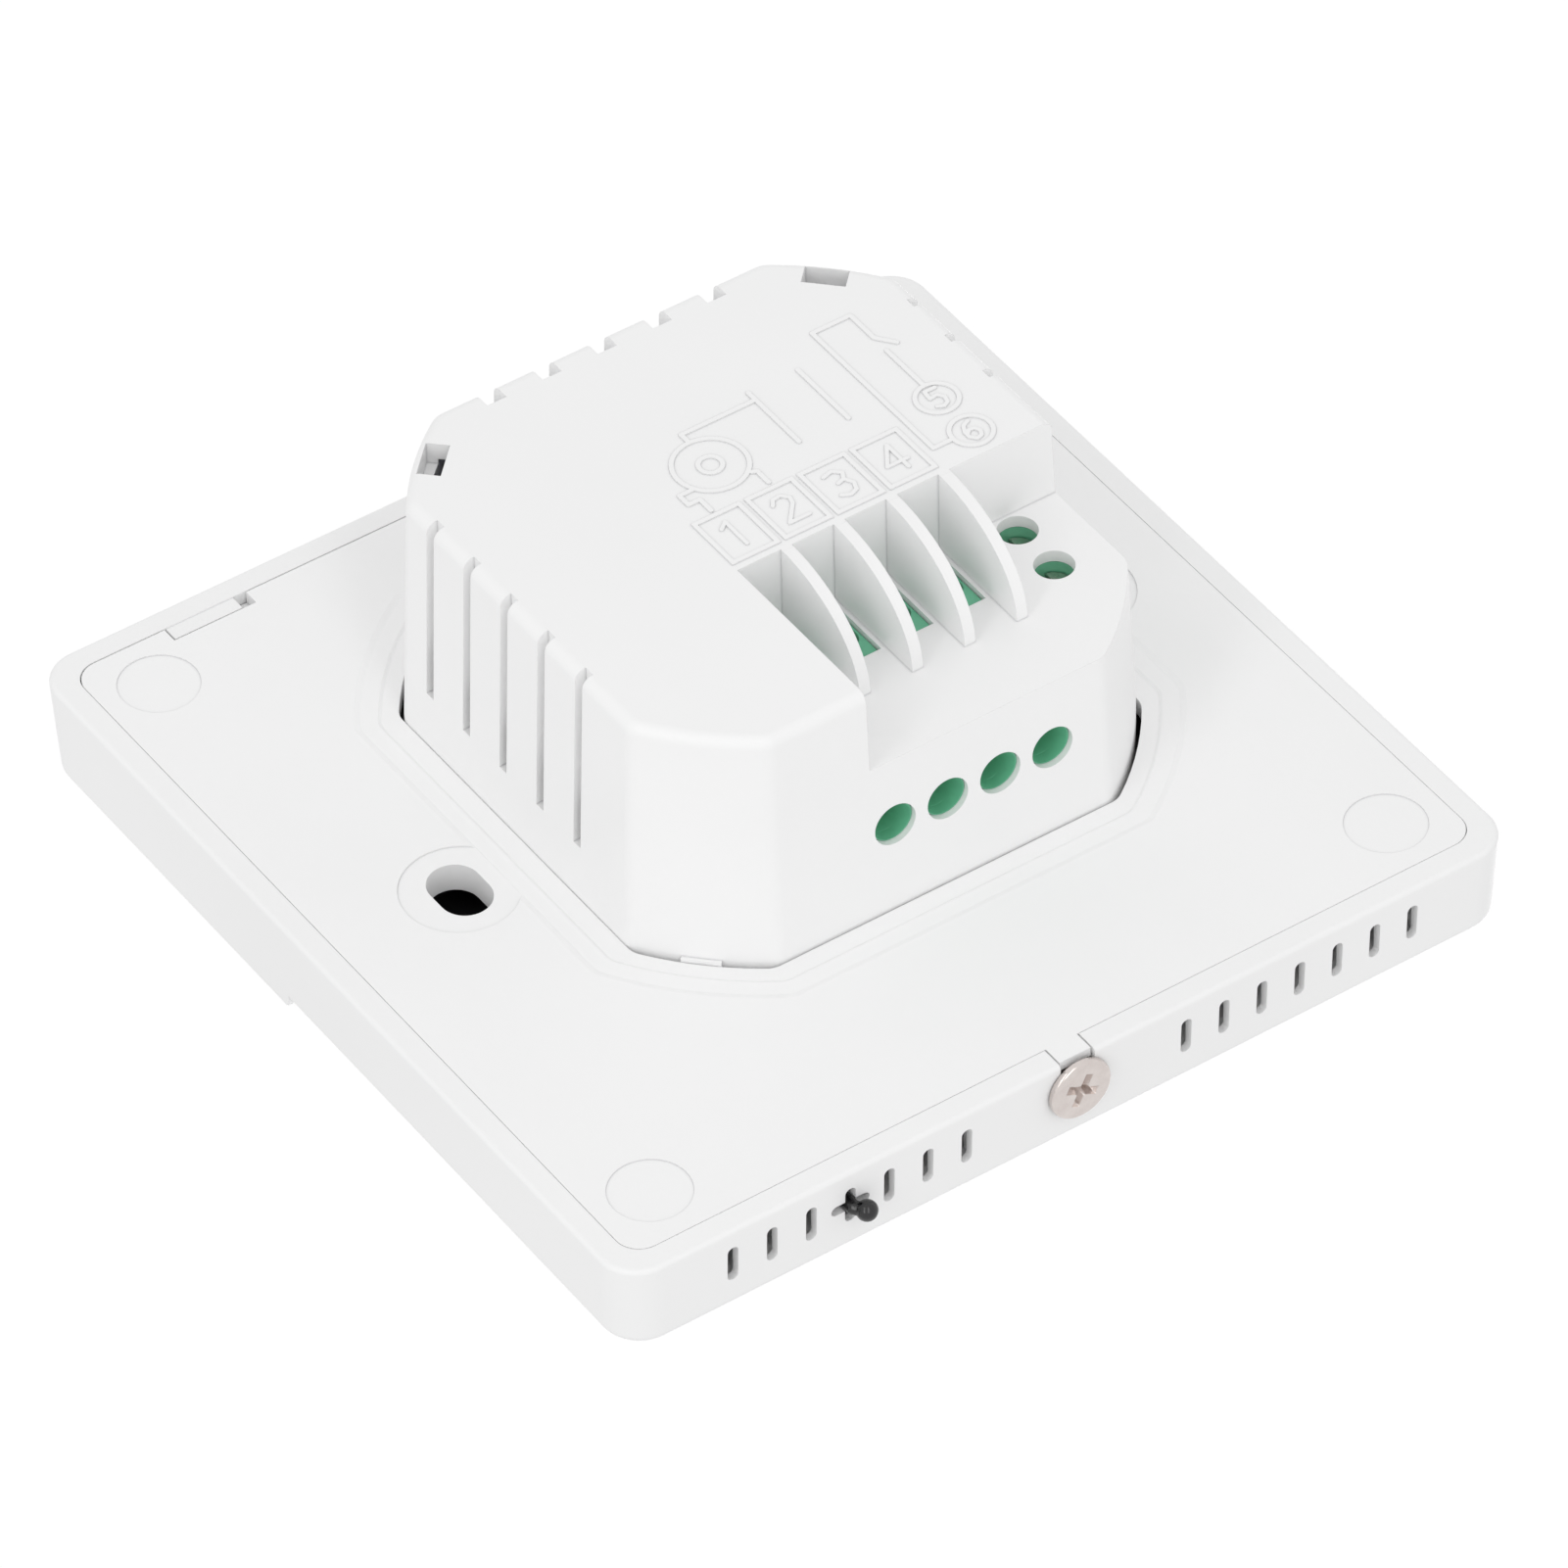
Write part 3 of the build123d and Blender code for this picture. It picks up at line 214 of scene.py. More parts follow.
# Carbon-filled silicone foam under the keys: soft, dark, open grain.
keyFoam = {"colour": "#1E1E20", "shade": "#303033", "roughness": 0.85, "ior": 1.41,
           "patchMm": 1.5, "grainMm": 0.25, "grainDepthMm": 0.06, "edgeMm": 0.2}
finishes["pad_foam"] = mouldedPlastic("keyFoamSilicone", keyFoam)

# Sintered ferrite core: dark grey, ground smooth, faintly speckled.
ferriteCore = {"colour": "#2A2A2C", "shade": "#3A3A3D", "roughness": 0.5, "ior": 1.7,
               "patchMm": 0.8, "grainMm": 0.15, "grainDepthMm": 0.01, "edgeMm": 0.15}
finishes["ferrite"] = mouldedPlastic("ferriteSintered", ferriteCore)

# Epoxy coat of the varistor, fluidised-bed dipped: bright blue with an orange-peel skin.
varistorEpoxy = {"colour": "#1D4FA0", "shade": "#17438C", "roughness": 0.3, "ior": 1.56,
                 "patchMm": 3, "grainMm": 0.7, "grainDepthMm": 0.03, "edgeMm": 0.5}
finishes["varistor_coat"] = mouldedPlastic("varistorEpoxyDipped", varistorEpoxy)

# Thermoplastic fuse case, moulded: dull black.
fuseCase = {"colour": "#1A1A1B", "shade": "#252527", "roughness": 0.45, "ior": 1.55,
            "patchMm": 3, "grainMm": 0.25, "grainDepthMm": 0.005, "edgeMm": 0.2}
finishes["fuse_case"] = mouldedPlastic("fuseCaseBlack", fuseCase)

# Nickel plate on the turned lock and clamp screws: warm grey mirror, dulled in patches.
nickelPlate = {"colour": "#DFD8D4", "shade": "#C9BFBB", "roughness": 0.2,
               "patchMm": 1.4, "lineMm": 0.5, "lineDepthMm": 0.004, "edgeMm": 0.12}
finishes["screw_nickel"] = finishedMetal("screwNickelPlate", nickelPlate)

# Zinc plate on the tapping screws: bluish and a little duller than nickel.
zincPlate = {"colour": "#B9BEC4", "shade": "#9AA0A8", "roughness": 0.34,
             "patchMm": 1.2, "lineMm": 0.5, "lineDepthMm": 0.005, "edgeMm": 0.12}
finishes["screw_steel"] = finishedMetal("screwZincPlate", zincPlate)

# Tin over stamped steel of the clamp cages: soft grey, faintly streaked.
tinnedSteel = {"colour": "#C9C8C4", "shade": "#A9A8A5", "roughness": 0.38,
               "patchMm": 1.0, "lineMm": 0.4, "lineDepthMm": 0.006, "edgeMm": 0.1}
finishes["clamp_steel"] = finishedMetal("cageTinnedSteel", tinnedSteel)

# Tinned can over the radio module, drawn from sheet: bright with long soft streaks.
tinnedCan = {"colour": "#CFCFCC", "shade": "#B6B6B3", "roughness": 0.3,
             "patchMm": 5, "lineMm": 0.8, "lineDepthMm": 0.004, "edgeMm": 0.2}
finishes["shield_metal"] = finishedMetal("radioCanTinned", tinnedCan)

# Brass of contacts, insert and pins, bright-dipped: warm yellow with brown patches.
brightBrass = {"colour": "#D9B866", "shade": "#B08E45", "roughness": 0.28,
               "patchMm": 1.1, "lineMm": 0.5, "lineDepthMm": 0.004, "edgeMm": 0.08}
finishes["pin_brass"] = finishedMetal("contactBrassBright", brightBrass)

# Tinned copper wire of the sensor's leads: drawn, bright, with lengthwise lines.
tinnedLead = {"colour": "#CFCCC6", "shade": "#AAA7A2", "roughness": 0.3,
              "patchMm": 0.6, "lineMm": 0.2, "lineDepthMm": 0.003, "edgeMm": 0.05}
finishes["lead_wire"] = finishedMetal("leadTinnedCopper", tinnedLead)
print("moulded and metal finishes made")

# Cast acrylic of the display window, tinted grey: a black glossy pane that lets the
# lit segments through, with faint smears of a wiping cloth.
tintedAcrylic = {"tint": "#656B6F", "roughness": 0.02, "smearRoughness": 0.03, "ior": 1.49,
                 "smearMm": 18, "smearDetail": 3.0, "smearLow": 0.4, "smearHigh": 0.75}
material, tree, shader, place = startMaterial("windowAcrylicTinted", {
    "Base Color": tintedAcrylic["tint"], "IOR": tintedAcrylic["ior"], "Transmission Weight": 1.0})
smears = addNode(tree, "ShaderNodeTexNoise", {
    "Vector": place, "Scale": 1 / (tintedAcrylic["smearMm"] * mm), "Detail": tintedAcrylic["smearDetail"]})
smearGloss = addNode(tree, "ShaderNodeMapRange", {
    "Value": smears.outputs["Fac"],
    "From Min": tintedAcrylic["smearLow"], "From Max": tintedAcrylic["smearHigh"],
    "To Min": tintedAcrylic["roughness"], "To Max": tintedAcrylic["smearRoughness"]})
tree.links.new(smearGloss.outputs["Result"], shader.inputs["Roughness"])
finishes["lens"] = material

# Float glass cell of the display with a black mask: flat, glossy, nearly black blue.
displayCell = {"mask": "#0B0F12", "field": "#10171B", "roughness": 0.12, "duller": 0.2,
               "ior": 1.52, "patchMm": 14}
material, tree, shader, place = startMaterial("displayCellGlass", {"IOR": displayCell["ior"]})
cellTone = addNode(tree, "ShaderNodeTexNoise", {
    "Vector": place, "Scale": 1 / (displayCell["patchMm"] * mm)}).outputs["Fac"]
cellMix = addNode(tree, "ShaderNodeMix", {
    "Factor": cellTone, "A": displayCell["mask"], "B": displayCell["field"]}, data_type="RGBA")
tree.links.new(cellMix.outputs["Result"], shader.inputs["Base Color"])
cellGloss = addNode(tree, "ShaderNodeMapRange", {
    "Value": cellTone, "To Min": displayCell["roughness"], "To Max": displayCell["duller"]})
tree.links.new(cellGloss.outputs["Result"], shader.inputs["Roughness"])
finishes["lcd"] = material

# Glass-epoxy laminate under solder mask: copper fields over 1 mm wide stand under the green
# film, which is thin and glossy. The 0.5 mm weave of the cloth is drawn 1 mm wide, so it shows.
boardLaminate = {"mask": "#0F5A34", "track": "#1C7A4A", "roughness": 0.32, "ior": 1.52,
                 "fieldMm": 2.6, "uneven": 0.75, "fold": 0.5, "edgeLow": 0.2, "edgeHigh": 0.26,
                 "weaveMm": 0.987, "weaveShare": 0.15, "trackDepthMm": 0.03}
material, tree, shader, place = startMaterial("boardSolderMask", {
    "IOR": boardLaminate["ior"], "Roughness": boardLaminate["roughness"]})
flatPlace = addNode(tree, "ShaderNodeMapping", {"Vector": place, "Scale": (1.0, 0.0, 1.0)})
fields = addNode(tree, "ShaderNodeTexVoronoi", {
    "Vector": flatPlace.outputs["Vector"], "Scale": 1 / (boardLaminate["fieldMm"] * mm),
    "Randomness": boardLaminate["uneven"]}, distance="MANHATTAN", feature="F1")
folded = addNode(tree, "ShaderNodeMath", {
    0: fields.outputs["Distance"], 1: boardLaminate["fold"]}, operation="PINGPONG")
copper = addNode(tree, "ShaderNodeMapRange", {
    "Value": folded.outputs["Value"],
    "From Min": boardLaminate["edgeLow"], "From Max": boardLaminate["edgeHigh"]}).outputs["Result"]
maskMix = addNode(tree, "ShaderNodeMix", {
    "Factor": copper, "A": boardLaminate["mask"], "B": boardLaminate["track"]}, data_type="RGBA")
tree.links.new(maskMix.outputs["Result"], shader.inputs["Base Color"])
weave = addNode(tree, "ShaderNodeTexWave", {
    "Vector": place, "Scale": bandScale(boardLaminate["weaveMm"])}, bands_direction="DIAGONAL")
boardHeight = addNode(tree, "ShaderNodeMath", {
    0: weave.outputs["Fac"], 1: boardLaminate["weaveShare"], 2: copper}, operation="MULTIPLY_ADD")
boardBump = addNode(tree, "ShaderNodeBump", {
    "Strength": 1.0, "Distance": boardLaminate["trackDepthMm"] * mm,
    "Height": boardHeight.outputs["Value"]})
tree.links.new(boardBump.outputs["Normal"], shader.inputs["Normal"])
finishes["board_laminate"] = material


def bandedFilm(name, finish, **bands):
    # a thin glossy film whose turns or rings show as bands of two tones
    material, tree, shader, place = startMaterial(name, {
        "IOR": finish["ior"], "Roughness": finish["roughness"]})
    wave = addNode(tree, "ShaderNodeTexWave", {
        "Vector": place, "Scale": bandScale(finish["bandMm"]), "Distortion": finish["uneven"]},
        bands_direction="Y", **bands).outputs["Fac"]
    tone = addNode(tree, "ShaderNodeMix", {
        "Factor": wave, "A": finish["colour"], "B": finish["shade"]}, data_type="RGBA")
    tree.links.new(tone.outputs["Result"], shader.inputs["Base Color"])
    bump = addNode(tree, "ShaderNodeBump", {"Distance": finish["bandDepthMm"] * mm, "Height": wave})
    tree.links.new(bump.outputs["Normal"], shader.inputs["Normal"])
    return material


# Polyester film tape round the transformer: glossy yellow, with turns that overlap every 1.8 mm.
windingTape = {"colour": "#D9B52A", "shade": "#B98F1C", "roughness": 0.22, "ior": 1.6,
               "bandMm": 1.7765, "uneven": 0.6, "bandDepthMm": 0.05}
finishes["winding_tape"] = bandedFilm("windingTapePolyester", windingTape, wave_profile="SAW")

# PVC heat-shrink sleeve of the capacitors: tight glossy film with faint shrink rings.
shrinkSleeve = {"colour": "#1A2238", "shade": "#263150", "roughness": 0.25, "ior": 1.53,
                "bandMm": 3.158, "uneven": 2.0, "bandDepthMm": 0.04}
finishes["capacitor_sleeve"] = bandedFilm("capacitorSleevePvc", shrinkSleeve)

for row in frame["record"]["subparts"]:
    for holder in frame["nodes"][row["node"]].material_slots:
        holder.material = finishes[row["material_slot"]]
print("finishes laid on the nodes")

# Display figures: a room temperature, a set temperature and the time, as seven-segment digits.
# Each text has its middle, counted in millimetres from the display's middle, and its size.
displayLow, displayHigh = boxOf("lcd_panel")
displayX = (displayLow.x + displayHigh.x) / 2
displayZ = (displayLow.z + displayHigh.z) / 2
degree = "\u00b0"
displayFigures = {
    "printMm": 0.03, "segmentLong": 5.3, "segmentWide": 1.0, "pitch": 5.5, "lean": 5.0,
    "texts": [("21.5" + degree, -11.4, -0.85, 1.0), ("12:30", 16.0, 5.15, 0.46),
              ("20.0" + degree, 16.0, -4.25, 0.46)],
    "advance": {".": 0.42, ":": 0.5, degree: 0.5}, "digitAdvance": 1.52,
    "dot": 1.0, "colonShare": 0.4, "ring": 0.9, "ringLine": 0.4,
    "lit": "#DDE9EE", "litShade": "#D0DDE3", "unlit": "#141A1E", "unlitShade": "#11171B", "glow": 2.0}
# across and up from a digit's middle in pitches, and the turn in degrees
segmentPlaces = {"a": (0.0, 1.0, 0), "b": (0.5, 0.5, 90), "c": (0.5, -0.5, 90), "d": (0.0, -1.0, 0),
                 "e": (-0.5, -0.5, 90), "f": (-0.5, 0.5, 90), "g": (0.0, 0.0, 0)}
digitSegments = {"0": "abcdef", "1": "bc", "2": "abged", "3": "abgcd", "4": "fgbc",
                 "5": "afgcd", "6": "afgedc", "7": "abc", "8": "abcdefg", "9": "abcfgd"}


def layFigures(row):
    # place, turn and size of the lit and the unlit segments, then dots and degree rings
    lit, unlit, dots, rings = [], [], [], []
    lean = math.tan(math.radians(row["lean"]))
    for text, fromX, fromZ, size in row["texts"]:
        pitch = row["pitch"] * size
        steps = [row["advance"].get(c, row["digitAdvance"]) * pitch for c in text]
        x = displayX + fromX - sum(steps) / 2
        middleZ = displayZ + fromZ
        for character, step in zip(text, steps):
            middle = x + step / 2
            if character.isdigit():
                for name, (across, up, turn) in segmentPlaces.items():
                    z = up * pitch
                    place = (middle + across * pitch + z * lean, middleZ + z)
                    target = lit if name in digitSegments[character] else unlit
                    target.append((place, turn - row["lean"] * (turn > 0), size))
            elif character == ".":
                dots.append((middle - pitch * lean, middleZ - pitch, row["dot"] * size))
            elif character == ":":
                for rise in (-row["colonShare"] * pitch, row["colonShare"] * pitch):
                    dots.append((middle + rise * lean, middleZ + rise, row["dot"] * size))
            else:
                radius = row["ring"] * size
                rings.append((middle + pitch * lean, middleZ + pitch - radius / 2,
                              radius, row["ringLine"] * size))
            x += step
    return lit, unlit, dots, rings


def segmentTree():
    # a hexagonal bar on every point, turned and sized by the point's own values
    tree = bpy.data.node_groups.new("displaySegments", "GeometryNodeTree")
    tree.interface.new_socket("Geometry", in_out="INPUT", socket_type="NodeSocketGeometry")
    for name in ("Segment length", "Segment width", "Print thickness"):
        tree.interface.new_socket(name, in_out="INPUT", socket_type="NodeSocketFloat")
    tree.interface.new_socket("Ink", in_out="INPUT", socket_type="NodeSocketMaterial")
    tree.interface.new_socket("Geometry", in_out="OUTPUT", socket_type="NodeSocketGeometry")
    given = addNode(tree, "NodeGroupInput").outputs

    sides = 6
    overFlats = 2 / math.sqrt(3)  # a hexagon's width over its corners by that over its flats
    bar = addNode(tree, "GeometryNodeMeshCylinder", {
        "Vertices": sides, "Radius": 0.5, "Depth": given["Print thickness"]}, fill_type="NGON")
    corner = addNode(tree, "ShaderNodeSeparateXYZ", {
        "Vector": addNode(tree, "GeometryNodeInputPosition").outputs["Position"]}).outputs
    # tips at half the length, shoulders half a width further in
    side = addNode(tree, "ShaderNodeMath", {0: corner["X"]}, operation="SIGN").outputs[0]
    twoWide = addNode(tree, "ShaderNodeMath", {
        0: given["Segment width"], 1: 2.0}, operation="MULTIPLY").outputs[0]
    halfLong = addNode(tree, "ShaderNodeMath", {
        0: given["Segment length"], 1: 0.5}, operation="MULTIPLY").outputs[0]
    inner = addNode(tree, "ShaderNodeMath", {
        0: halfLong, 1: given["Segment width"]}, operation="SUBTRACT").outputs[0]
    stretch = addNode(tree, "ShaderNodeMath", {
        0: corner["X"], 1: twoWide}, operation="MULTIPLY").outputs[0]
    along = addNode(tree, "ShaderNodeMath", {
        0: side, 1: inner, 2: stretch}, operation="MULTIPLY_ADD").outputs[0]
    wide = addNode(tree, "ShaderNodeMath", {
        0: given["Segment width"], 1: overFlats}, operation="MULTIPLY").outputs[0]
    across = addNode(tree, "ShaderNodeMath", {
        0: corner["Y"], 1: wide}, operation="MULTIPLY").outputs[0]
    out = addNode(tree, "ShaderNodeMath", {0: corner["Z"], 1: -1.0}, operation="MULTIPLY").outputs[0]
    shaped = addNode(tree, "GeometryNodeSetPosition", {
        "Geometry": bar.outputs["Mesh"],
        "Position": addNode(tree, "ShaderNodeCombineXYZ", {
            "X": along, "Y": out, "Z": across}).outputs["Vector"]})
    values = {}
    for label in ("turn", "size"):
        reader = addNode(tree, "GeometryNodeInputNamedAttribute", data_type="FLOAT")
        reader.inputs["Name"].default_value = label
        values[label] = reader.outputs["Attribute"]
    spin = addNode(tree, "FunctionNodeEulerToRotation", {
        "Euler": addNode(tree, "ShaderNodeCombineXYZ", {"Y": values["turn"]}).outputs["Vector"]})
    placed = addNode(tree, "GeometryNodeInstanceOnPoints", {
        "Points": given["Geometry"], "Instance": shaped.outputs["Geometry"],
        "Rotation": spin.outputs["Rotation"], "Scale": values["size"]})
    real = addNode(tree, "GeometryNodeRealizeInstances", {"Geometry": placed.outputs["Instances"]})
    inked = addNode(tree, "GeometryNodeSetMaterial", {
        "Geometry": real.outputs["Geometry"], "Material": given["Ink"]})
    addNode(tree, "NodeGroupOutput", {"Geometry": inked.outputs["Geometry"]})
    return tree


def placeMesh(name, mesh):
    piece = bpy.data.objects.new(name, mesh)
    bpy.context.scene.collection.objects.link(piece)
    return piece


def segmentPiece(name, tree, row, points, ink):
    # the tree's result as a plain mesh, half sunk in the display's face
    mesh = bpy.data.meshes.new(name + "Points")
    mesh.from_pydata([(x * mm, displayLow.y * mm, z * mm) for (x, z), turn, size in points], [], [])
    for label, values in (("turn", [math.radians(-turn) for place, turn, size in points]),
                          ("size", [size for place, turn, size in points])):
        mesh.attributes.new(label, "FLOAT", "POINT").data.foreach_set("value", values)
    seeds = placeMesh(name + "Seeds", mesh)
    modifier = seeds.modifiers.new("segments", "NODES")
    modifier.node_group = tree
    sizes = {"Segment length": row["segmentLong"] * mm, "Segment width": row["segmentWide"] * mm,
             "Print thickness": row["printMm"] * mm, "Ink": ink}
    for socket in tree.interface.items_tree:
        if socket.in_out == "INPUT" and socket.name in sizes:
            modifier[socket.identifier] = sizes[socket.name]
    made = seeds.evaluated_get(bpy.context.evaluated_depsgraph_get())
    piece = placeMesh(name, bpy.data.meshes.new_from_object(made))
    bpy.data.objects.remove(seeds)
    return piece


def addRibbon(shape, points, width, nearY, farY, closed=False):
    # a flat line of one width with mitred corners, as a closed solid between two levels
    sharpest = 0.3  # a mitre reaches no further than the half width over this
    count = len(points)
    corners = []
    for i, (x, z) in enumerate(points):
        before = points[(i - 1) % count] if closed or i else None
        after = points[(i + 1) % count] if closed or i < count - 1 else None
        ways = []
        if before:
            ways.append(Vector((x - before[0], z - before[1])).normalized())
        if after:
            ways.append(Vector((after[0] - x, after[1] - z)).normalized())
        middle = sum(ways, Vector((0, 0))).normalized()
        side = Vector((-middle.y, middle.x))
        reach = width / 2 / max(sharpest, side.dot(Vector((-ways[0].y, ways[0].x))))
        for sign in (1, -1):
            spot = Vector((x, z)) + side * reach * sign
            for y in (nearY, farY):
                corners.append(shape.verts.new((spot.x * mm, y * mm, spot.y * mm)))
    each = 4  # corners at every point
    for i in range(count if closed else count - 1):
        j = (i + 1) % count
        here, there = corners[each * i:each * (i + 1)], corners[each * j:each * (j + 1)]
        for p, q in ((0, 2), (2, 3), (3, 1), (1, 0)):
            shape.faces.new((here[p], there[p], there[q], here[q]))
    if not closed:
        first, last = corners[:each], corners[-each:]
        shape.faces.new([first[i] for i in (0, 2, 3, 1)])
        shape.faces.new([last[i] for i in (1, 3, 2, 0)])


def arcPoints(x, z, radius, start, end, count):
    # points round an arc, its angles counted from the right
    turns = [math.radians(start + (end - start) * i / count) for i in range(count + 1)]
    return [(x + radius * math.cos(t), z + radius * math.sin(t)) for t in turns]


def ribbonPiece(name, ribbons, nearY, farY, ink):
    # several flat lines, each with its width, as one printed piece
    shape = bmesh.new()
    for points, width, closed in ribbons:
        addRibbon(shape, points, width, nearY, farY, closed)
    bmesh.ops.recalc_face_normals(shape, faces=shape.faces)
    mesh = bpy.data.meshes.new(name)
    shape.to_mesh(mesh)
    shape.free()
    mesh.materials.append(ink)
    return placeMesh(name, mesh)


def printInk(name, colour, shade, row):
    # a thin, slightly uneven film of print, which may be lit from behind
    material, tree, shader, place = startMaterial(name, {"Roughness": row["roughness"], "IOR": row["ior"]})
    film = addNode(tree, "ShaderNodeTexNoise", {
        "Vector": place, "Scale": 1 / (row["filmMm"] * mm), "Detail": row["filmDetail"]})
    tone = addNode(tree, "ShaderNodeMix", {
        "Factor": film.outputs["Fac"], "A": colour, "B": shade}, data_type="RGBA")
    tree.links.new(tone.outputs["Result"], shader.inputs["Base Color"])
    if row.get("glow"):
        shader.inputs["Emission Strength"].default_value = row["glow"]
        tree.links.new(tone.outputs["Result"], shader.inputs["Emission Color"])
    return material


# Segment print of the display: a pale glow when lit, hardly lighter than its ground when not
cellInk = {"roughness": 0.35, "ior": 1.5, "filmMm": 0.6, "filmDetail": 2.0}
litInk = printInk("displayInkLit", displayFigures["lit"], displayFigures["litShade"],
                  {**cellInk, "glow": displayFigures["glow"]})
unlitInk = printInk("displayInkUnlit", displayFigures["unlit"], displayFigures["unlitShade"], cellInk)
segments = segmentTree()
litPoints, unlitPoints, dots, rings = layFigures(displayFigures)
dayMarks = {"firstX": -22.0, "stepX": 3.4, "downMm": 10.05, "size": 0.42, "count": 7, "today": 2}
days = [((displayX + dayMarks["firstX"] + i * dayMarks["stepX"], displayZ - dayMarks["downMm"]),
         0, dayMarks["size"]) for i in range(dayMarks["count"])]
today = days.pop(dayMarks["today"])
for name, points, ink in (
        ("display_figures", litPoints + [today], litInk),
        ("display_unlit_segments", unlitPoints + days, unlitInk)):
    piece = segmentPiece(name, segments, displayFigures, points, ink)
    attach(piece, "main_unit")

# Points, degree rings and a signal sign between the figures. A ring ends one step before its
# start, because its line is closed.
degreeRing = {"to": 345, "steps": 23}
signalSign = {"line": 0.42, "acrossMm": -21.8, "upMm": 6.95, "radii": [1.1, 2.1, 3.1],
              "from": 45, "to": 135, "steps": 14, "foot": 0.7}
signs = [([(x - wide / 2, z), (x + wide / 2, z)], wide, False) for x, z, wide in dots]
signs += [(arcPoints(x, z, radius, 0, degreeRing["to"], degreeRing["steps"]), line, True)
          for x, z, radius, line in rings]
x = displayX + signalSign["acrossMm"]
z = displayZ + signalSign["upMm"]
signs += [(arcPoints(x, z, radius, signalSign["from"], signalSign["to"], signalSign["steps"]),
           signalSign["line"], False) for radius in signalSign["radii"]]
foot = signalSign["foot"]
signs.append(([(x - foot / 2, z), (x + foot / 2, z)], foot, False))
halfPrint = displayFigures["printMm"] / 2
piece = ribbonPiece("display_signs", signs, displayLow.y - halfPrint, displayLow.y + halfPrint, litInk)
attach(piece, "main_unit")
print("display figures made")

# Pad print on the four keys, over their touch pads: power, clock, down and up, in a matt grey
keyPrint = {"colour": "#8E9497", "shade": "#989EA1", "roughness": 0.5, "ior": 1.5,
            "filmMm": 0.2, "filmDetail": 1.0, "line": 0.42, "count": 4, "padMm": 8.0,
            "skinMm": 1.35, "printMm": 0.03, "sunkMm": 0.01}
keyInk = printInk("keyPrintInk", keyPrint["colour"], keyPrint["shade"], keyPrint)
padsLow, padsHigh = boxOf("touch_pads")
keyPitch = (padsHigh.x - padsLow.x - keyPrint["padMm"]) / (keyPrint["count"] - 1)
keyX = [padsLow.x + keyPrint["padMm"] / 2 + i * keyPitch for i in range(keyPrint["count"])]
keyZ = (padsLow.z + padsHigh.z) / 2
keyFace = padsLow.y - keyPrint["skinMm"]
power, clock, down, up = keyX
powerSign = {"radius": 1.9, "drop": 0.2, "from": 120, "to": 420, "steps": 40, "low": 0.3, "high": 2.3}
clockSign = {"radius": 2.0, "to": 352, "steps": 45, "minute": 1.2, "hour": 0.9}
arrowSign = {"half": 1.8, "rise": 0.9}
glyphs = [
    (arcPoints(power, keyZ - powerSign["drop"], powerSign["radius"], powerSign["from"],
               powerSign["to"], powerSign["steps"]), False),
    ([(power, keyZ + powerSign["low"]), (power, keyZ + powerSign["high"])], False),
    (arcPoints(clock, keyZ, clockSign["radius"], 0, clockSign["to"], clockSign["steps"]), True),
    ([(clock, keyZ + clockSign["minute"]), (clock, keyZ), (clock + clockSign["hour"], keyZ)], False)]
half = arrowSign["half"]
for x, rise in ((down, -arrowSign["rise"]), (up, arrowSign["rise"])):
    glyphs.append(([(x - half, keyZ - rise), (x, keyZ + rise), (x + half, keyZ - rise)], False))
piece = ribbonPiece("key_signs", [(points, keyPrint["line"], closed) for points, closed in glyphs],
                    keyFace - keyPrint["printMm"], keyFace + keyPrint["sunkMm"], keyInk)
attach(piece, "main_unit")
print("key signs made")

# The thermostat lies on its face, so the floor stands just before the display's front. Only the
# camera sees it, from its front. Most of its white is a glow, the rest takes a faint shadow.
floorPlace = {"gapMm": 0.05, "halfMm": 1500, "glowShare": 0.85, "glow": 1.03}
half = floorPlace["halfMm"] * mm
y = (boxOf("front_shell")[0].y - floorPlace["gapMm"]) * mm
floorMesh = bpy.data.meshes.new("paperFloor")
floorMesh.from_pydata([(-half, y, -half), (-half, y, half), (half, y, half), (half, y, -half)],
                      [], [(0, 1, 2, 3)])
floor = placeMesh("paperFloor", floorMesh)
floorMaterial = bpy.data.materials.new("paperWhite")
floorMaterial.use_nodes = True
tree = floorMaterial.node_tree
tree.nodes.clear()
rays = addNode(tree, "ShaderNodeLightPath").outputs
back = addNode(tree, "ShaderNodeNewGeometry").outputs["Backfacing"]
front = addNode(tree, "ShaderNodeMath", {0: 1.0, 1: back}, operation="SUBTRACT").outputs[0]
shown = addNode(tree, "ShaderNodeMath", {
    0: rays["Is Camera Ray"], 1: front}, operation="MULTIPLY").outputs[0]
paper = addNode(tree, "ShaderNodeBsdfDiffuse", {"Color": "#FFFFFF"}).outputs["BSDF"]
white = addNode(tree, "ShaderNodeEmission", {
    "Color": "#FFFFFF", "Strength": floorPlace["glow"]}).outputs["Emission"]
lit = addNode(tree, "ShaderNodeMixShader", {
    "Fac": floorPlace["glowShare"], 1: paper, 2: white}).outputs["Shader"]
clear = addNode(tree, "ShaderNodeBsdfTransparent").outputs["BSDF"]
mixed = addNode(tree, "ShaderNodeMixShader", {"Fac": shown, 1: clear, 2: lit}).outputs["Shader"]
addNode(tree, "ShaderNodeOutputMaterial", {"Surface": mixed})
floorMesh.materials.append(floorMaterial)

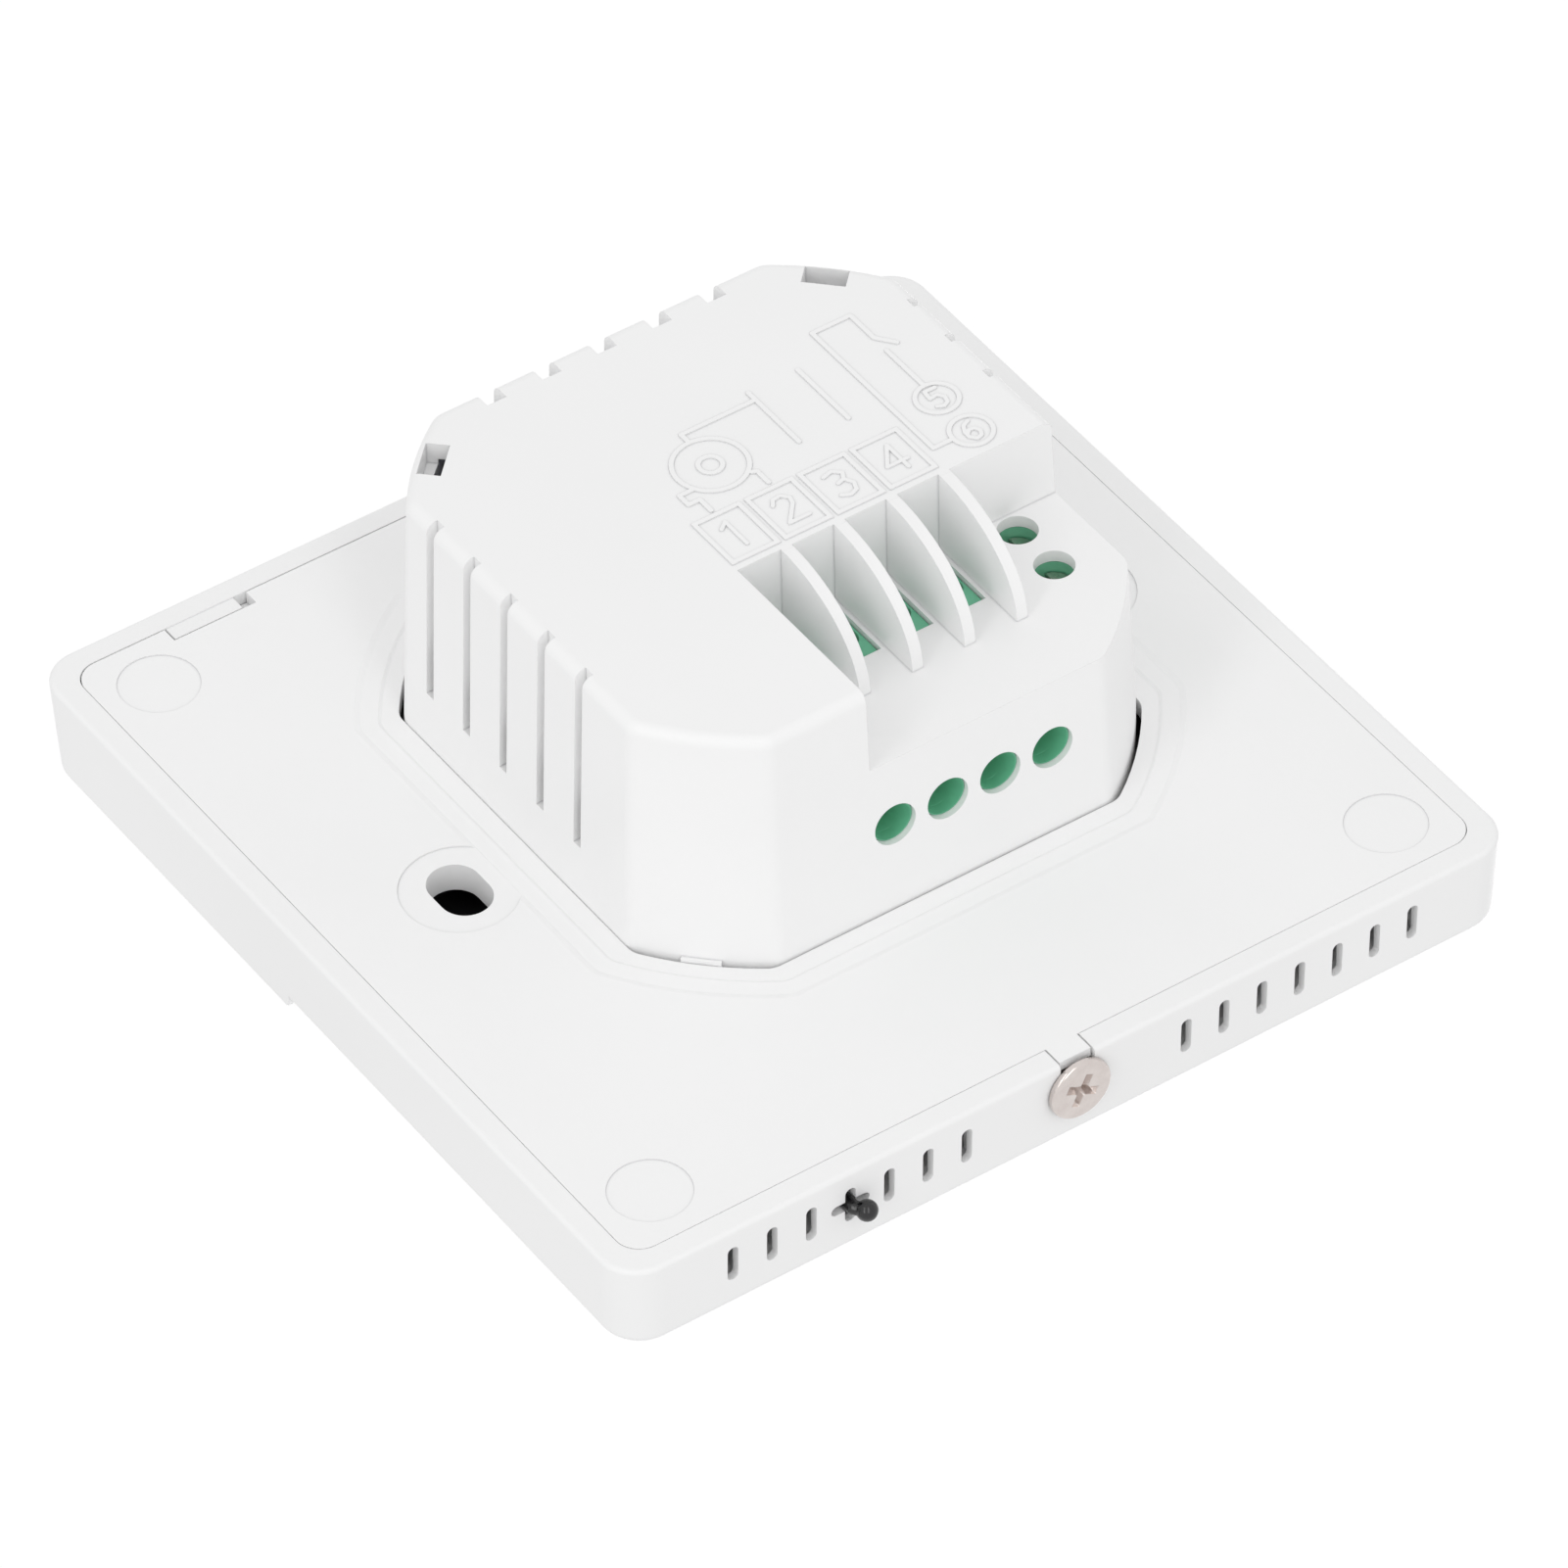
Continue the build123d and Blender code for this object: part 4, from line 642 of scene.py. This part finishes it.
# White surroundings for the eye and for reflections, softer light for the surfaces
surroundings = {"white": 1.0, "ambient": 0.79}
world = bpy.data.worlds.new("whiteStudio")
bpy.context.scene.world = world
world.use_nodes = True
tree = world.node_tree
tree.nodes.clear()
rays = addNode(tree, "ShaderNodeLightPath").outputs
direct = rays["Is Camera Ray"]
for kind in ("Is Glossy Ray", "Is Transmission Ray"):
    direct = addNode(tree, "ShaderNodeMath", {0: direct, 1: rays[kind]}, operation="MAXIMUM").outputs[0]
level = addNode(tree, "ShaderNodeMapRange", {
    "Value": direct, "To Min": surroundings["ambient"], "To Max": surroundings["white"]})
sky = addNode(tree, "ShaderNodeBackground", {"Color": "#FFFFFF", "Strength": level.outputs["Result"]})
addNode(tree, "ShaderNodeOutputWorld", {"Surface": sky.outputs["Background"]})

# Two tall strips on either side of the camera, which glint in the bead and the screw, and one
# softbox on the room's side for the front; their long sides stand upright in the photo
uprightInPhoto = Vector((-0.40, 0.73, 0.56))
lamps = {
    "leftStrip": {"way": (0.74, 0.62, -0.27), "distance": 0.9, "size": (0.16, 0.9), "watts": 1.0},
    "rightStrip": {"way": (0.18, 0.66, -0.73), "distance": 0.9, "size": (0.16, 0.9), "watts": 1.0},
    "roomSoftbox": {"way": (-0.60, -0.65, 0.46), "distance": 0.9, "size": (0.6, 0.6), "watts": 1.5},
}
for name, row in lamps.items():
    light = bpy.data.lights.new(name, "AREA")
    light.shape = "RECTANGLE"
    light.size, light.size_y = row["size"]
    light.energy = row["watts"]
    lamp = bpy.data.objects.new(name, light)
    bpy.context.scene.collection.objects.link(lamp)
    way = Vector(row["way"]).normalized()
    aside = uprightInPhoto.cross(way).normalized()
    turned = Matrix((aside, way.cross(aside), way)).transposed().to_4x4()
    lamp.matrix_world = Matrix.Translation(way * row["distance"]) @ turned
print("floor, surroundings and lamps made")

# Camera behind and below the thermostat, from the fitted outline of the photograph. Its azimuth
# counts from the room's side, and its roll turns the picture.
photoCamera = {"azimuth": 149.6927, "elevation": -37.2713, "roll": -45.3963,
               "aimMm": (-0.05, -1.85, -2.13), "distanceMm": 1026.46,
               "lens": 292.57, "sensor": 36.0, "clipNear": 0.01, "clipFar": 20.0}
azimuth, elevation, roll = [math.radians(photoCamera[key]) for key in ("azimuth", "elevation", "roll")]
back = Vector((math.sin(azimuth) * math.cos(elevation), -math.cos(azimuth) * math.cos(elevation),
               math.sin(elevation)))
sideways = Vector((math.cos(azimuth), math.sin(azimuth), 0))
right = sideways * math.cos(roll) + back.cross(sideways) * math.sin(roll)
lensData = bpy.data.cameras.new("photoCamera")
lensData.sensor_fit = "HORIZONTAL"
lensData.sensor_width = photoCamera["sensor"]
lensData.lens = photoCamera["lens"]
lensData.clip_start = photoCamera["clipNear"]
lensData.clip_end = photoCamera["clipFar"]
camera = bpy.data.objects.new("photoCamera", lensData)
bpy.context.scene.collection.objects.link(camera)
turned = Matrix((right, back.cross(right), back)).transposed().to_4x4()
place = (Vector(photoCamera["aimMm"]) + back * photoCamera["distanceMm"]) * mm
camera.matrix_world = Matrix.Translation(place) @ turned
bpy.context.scene.camera = camera
bpy.context.scene.view_settings.view_transform = "Standard"
print("camera placed")
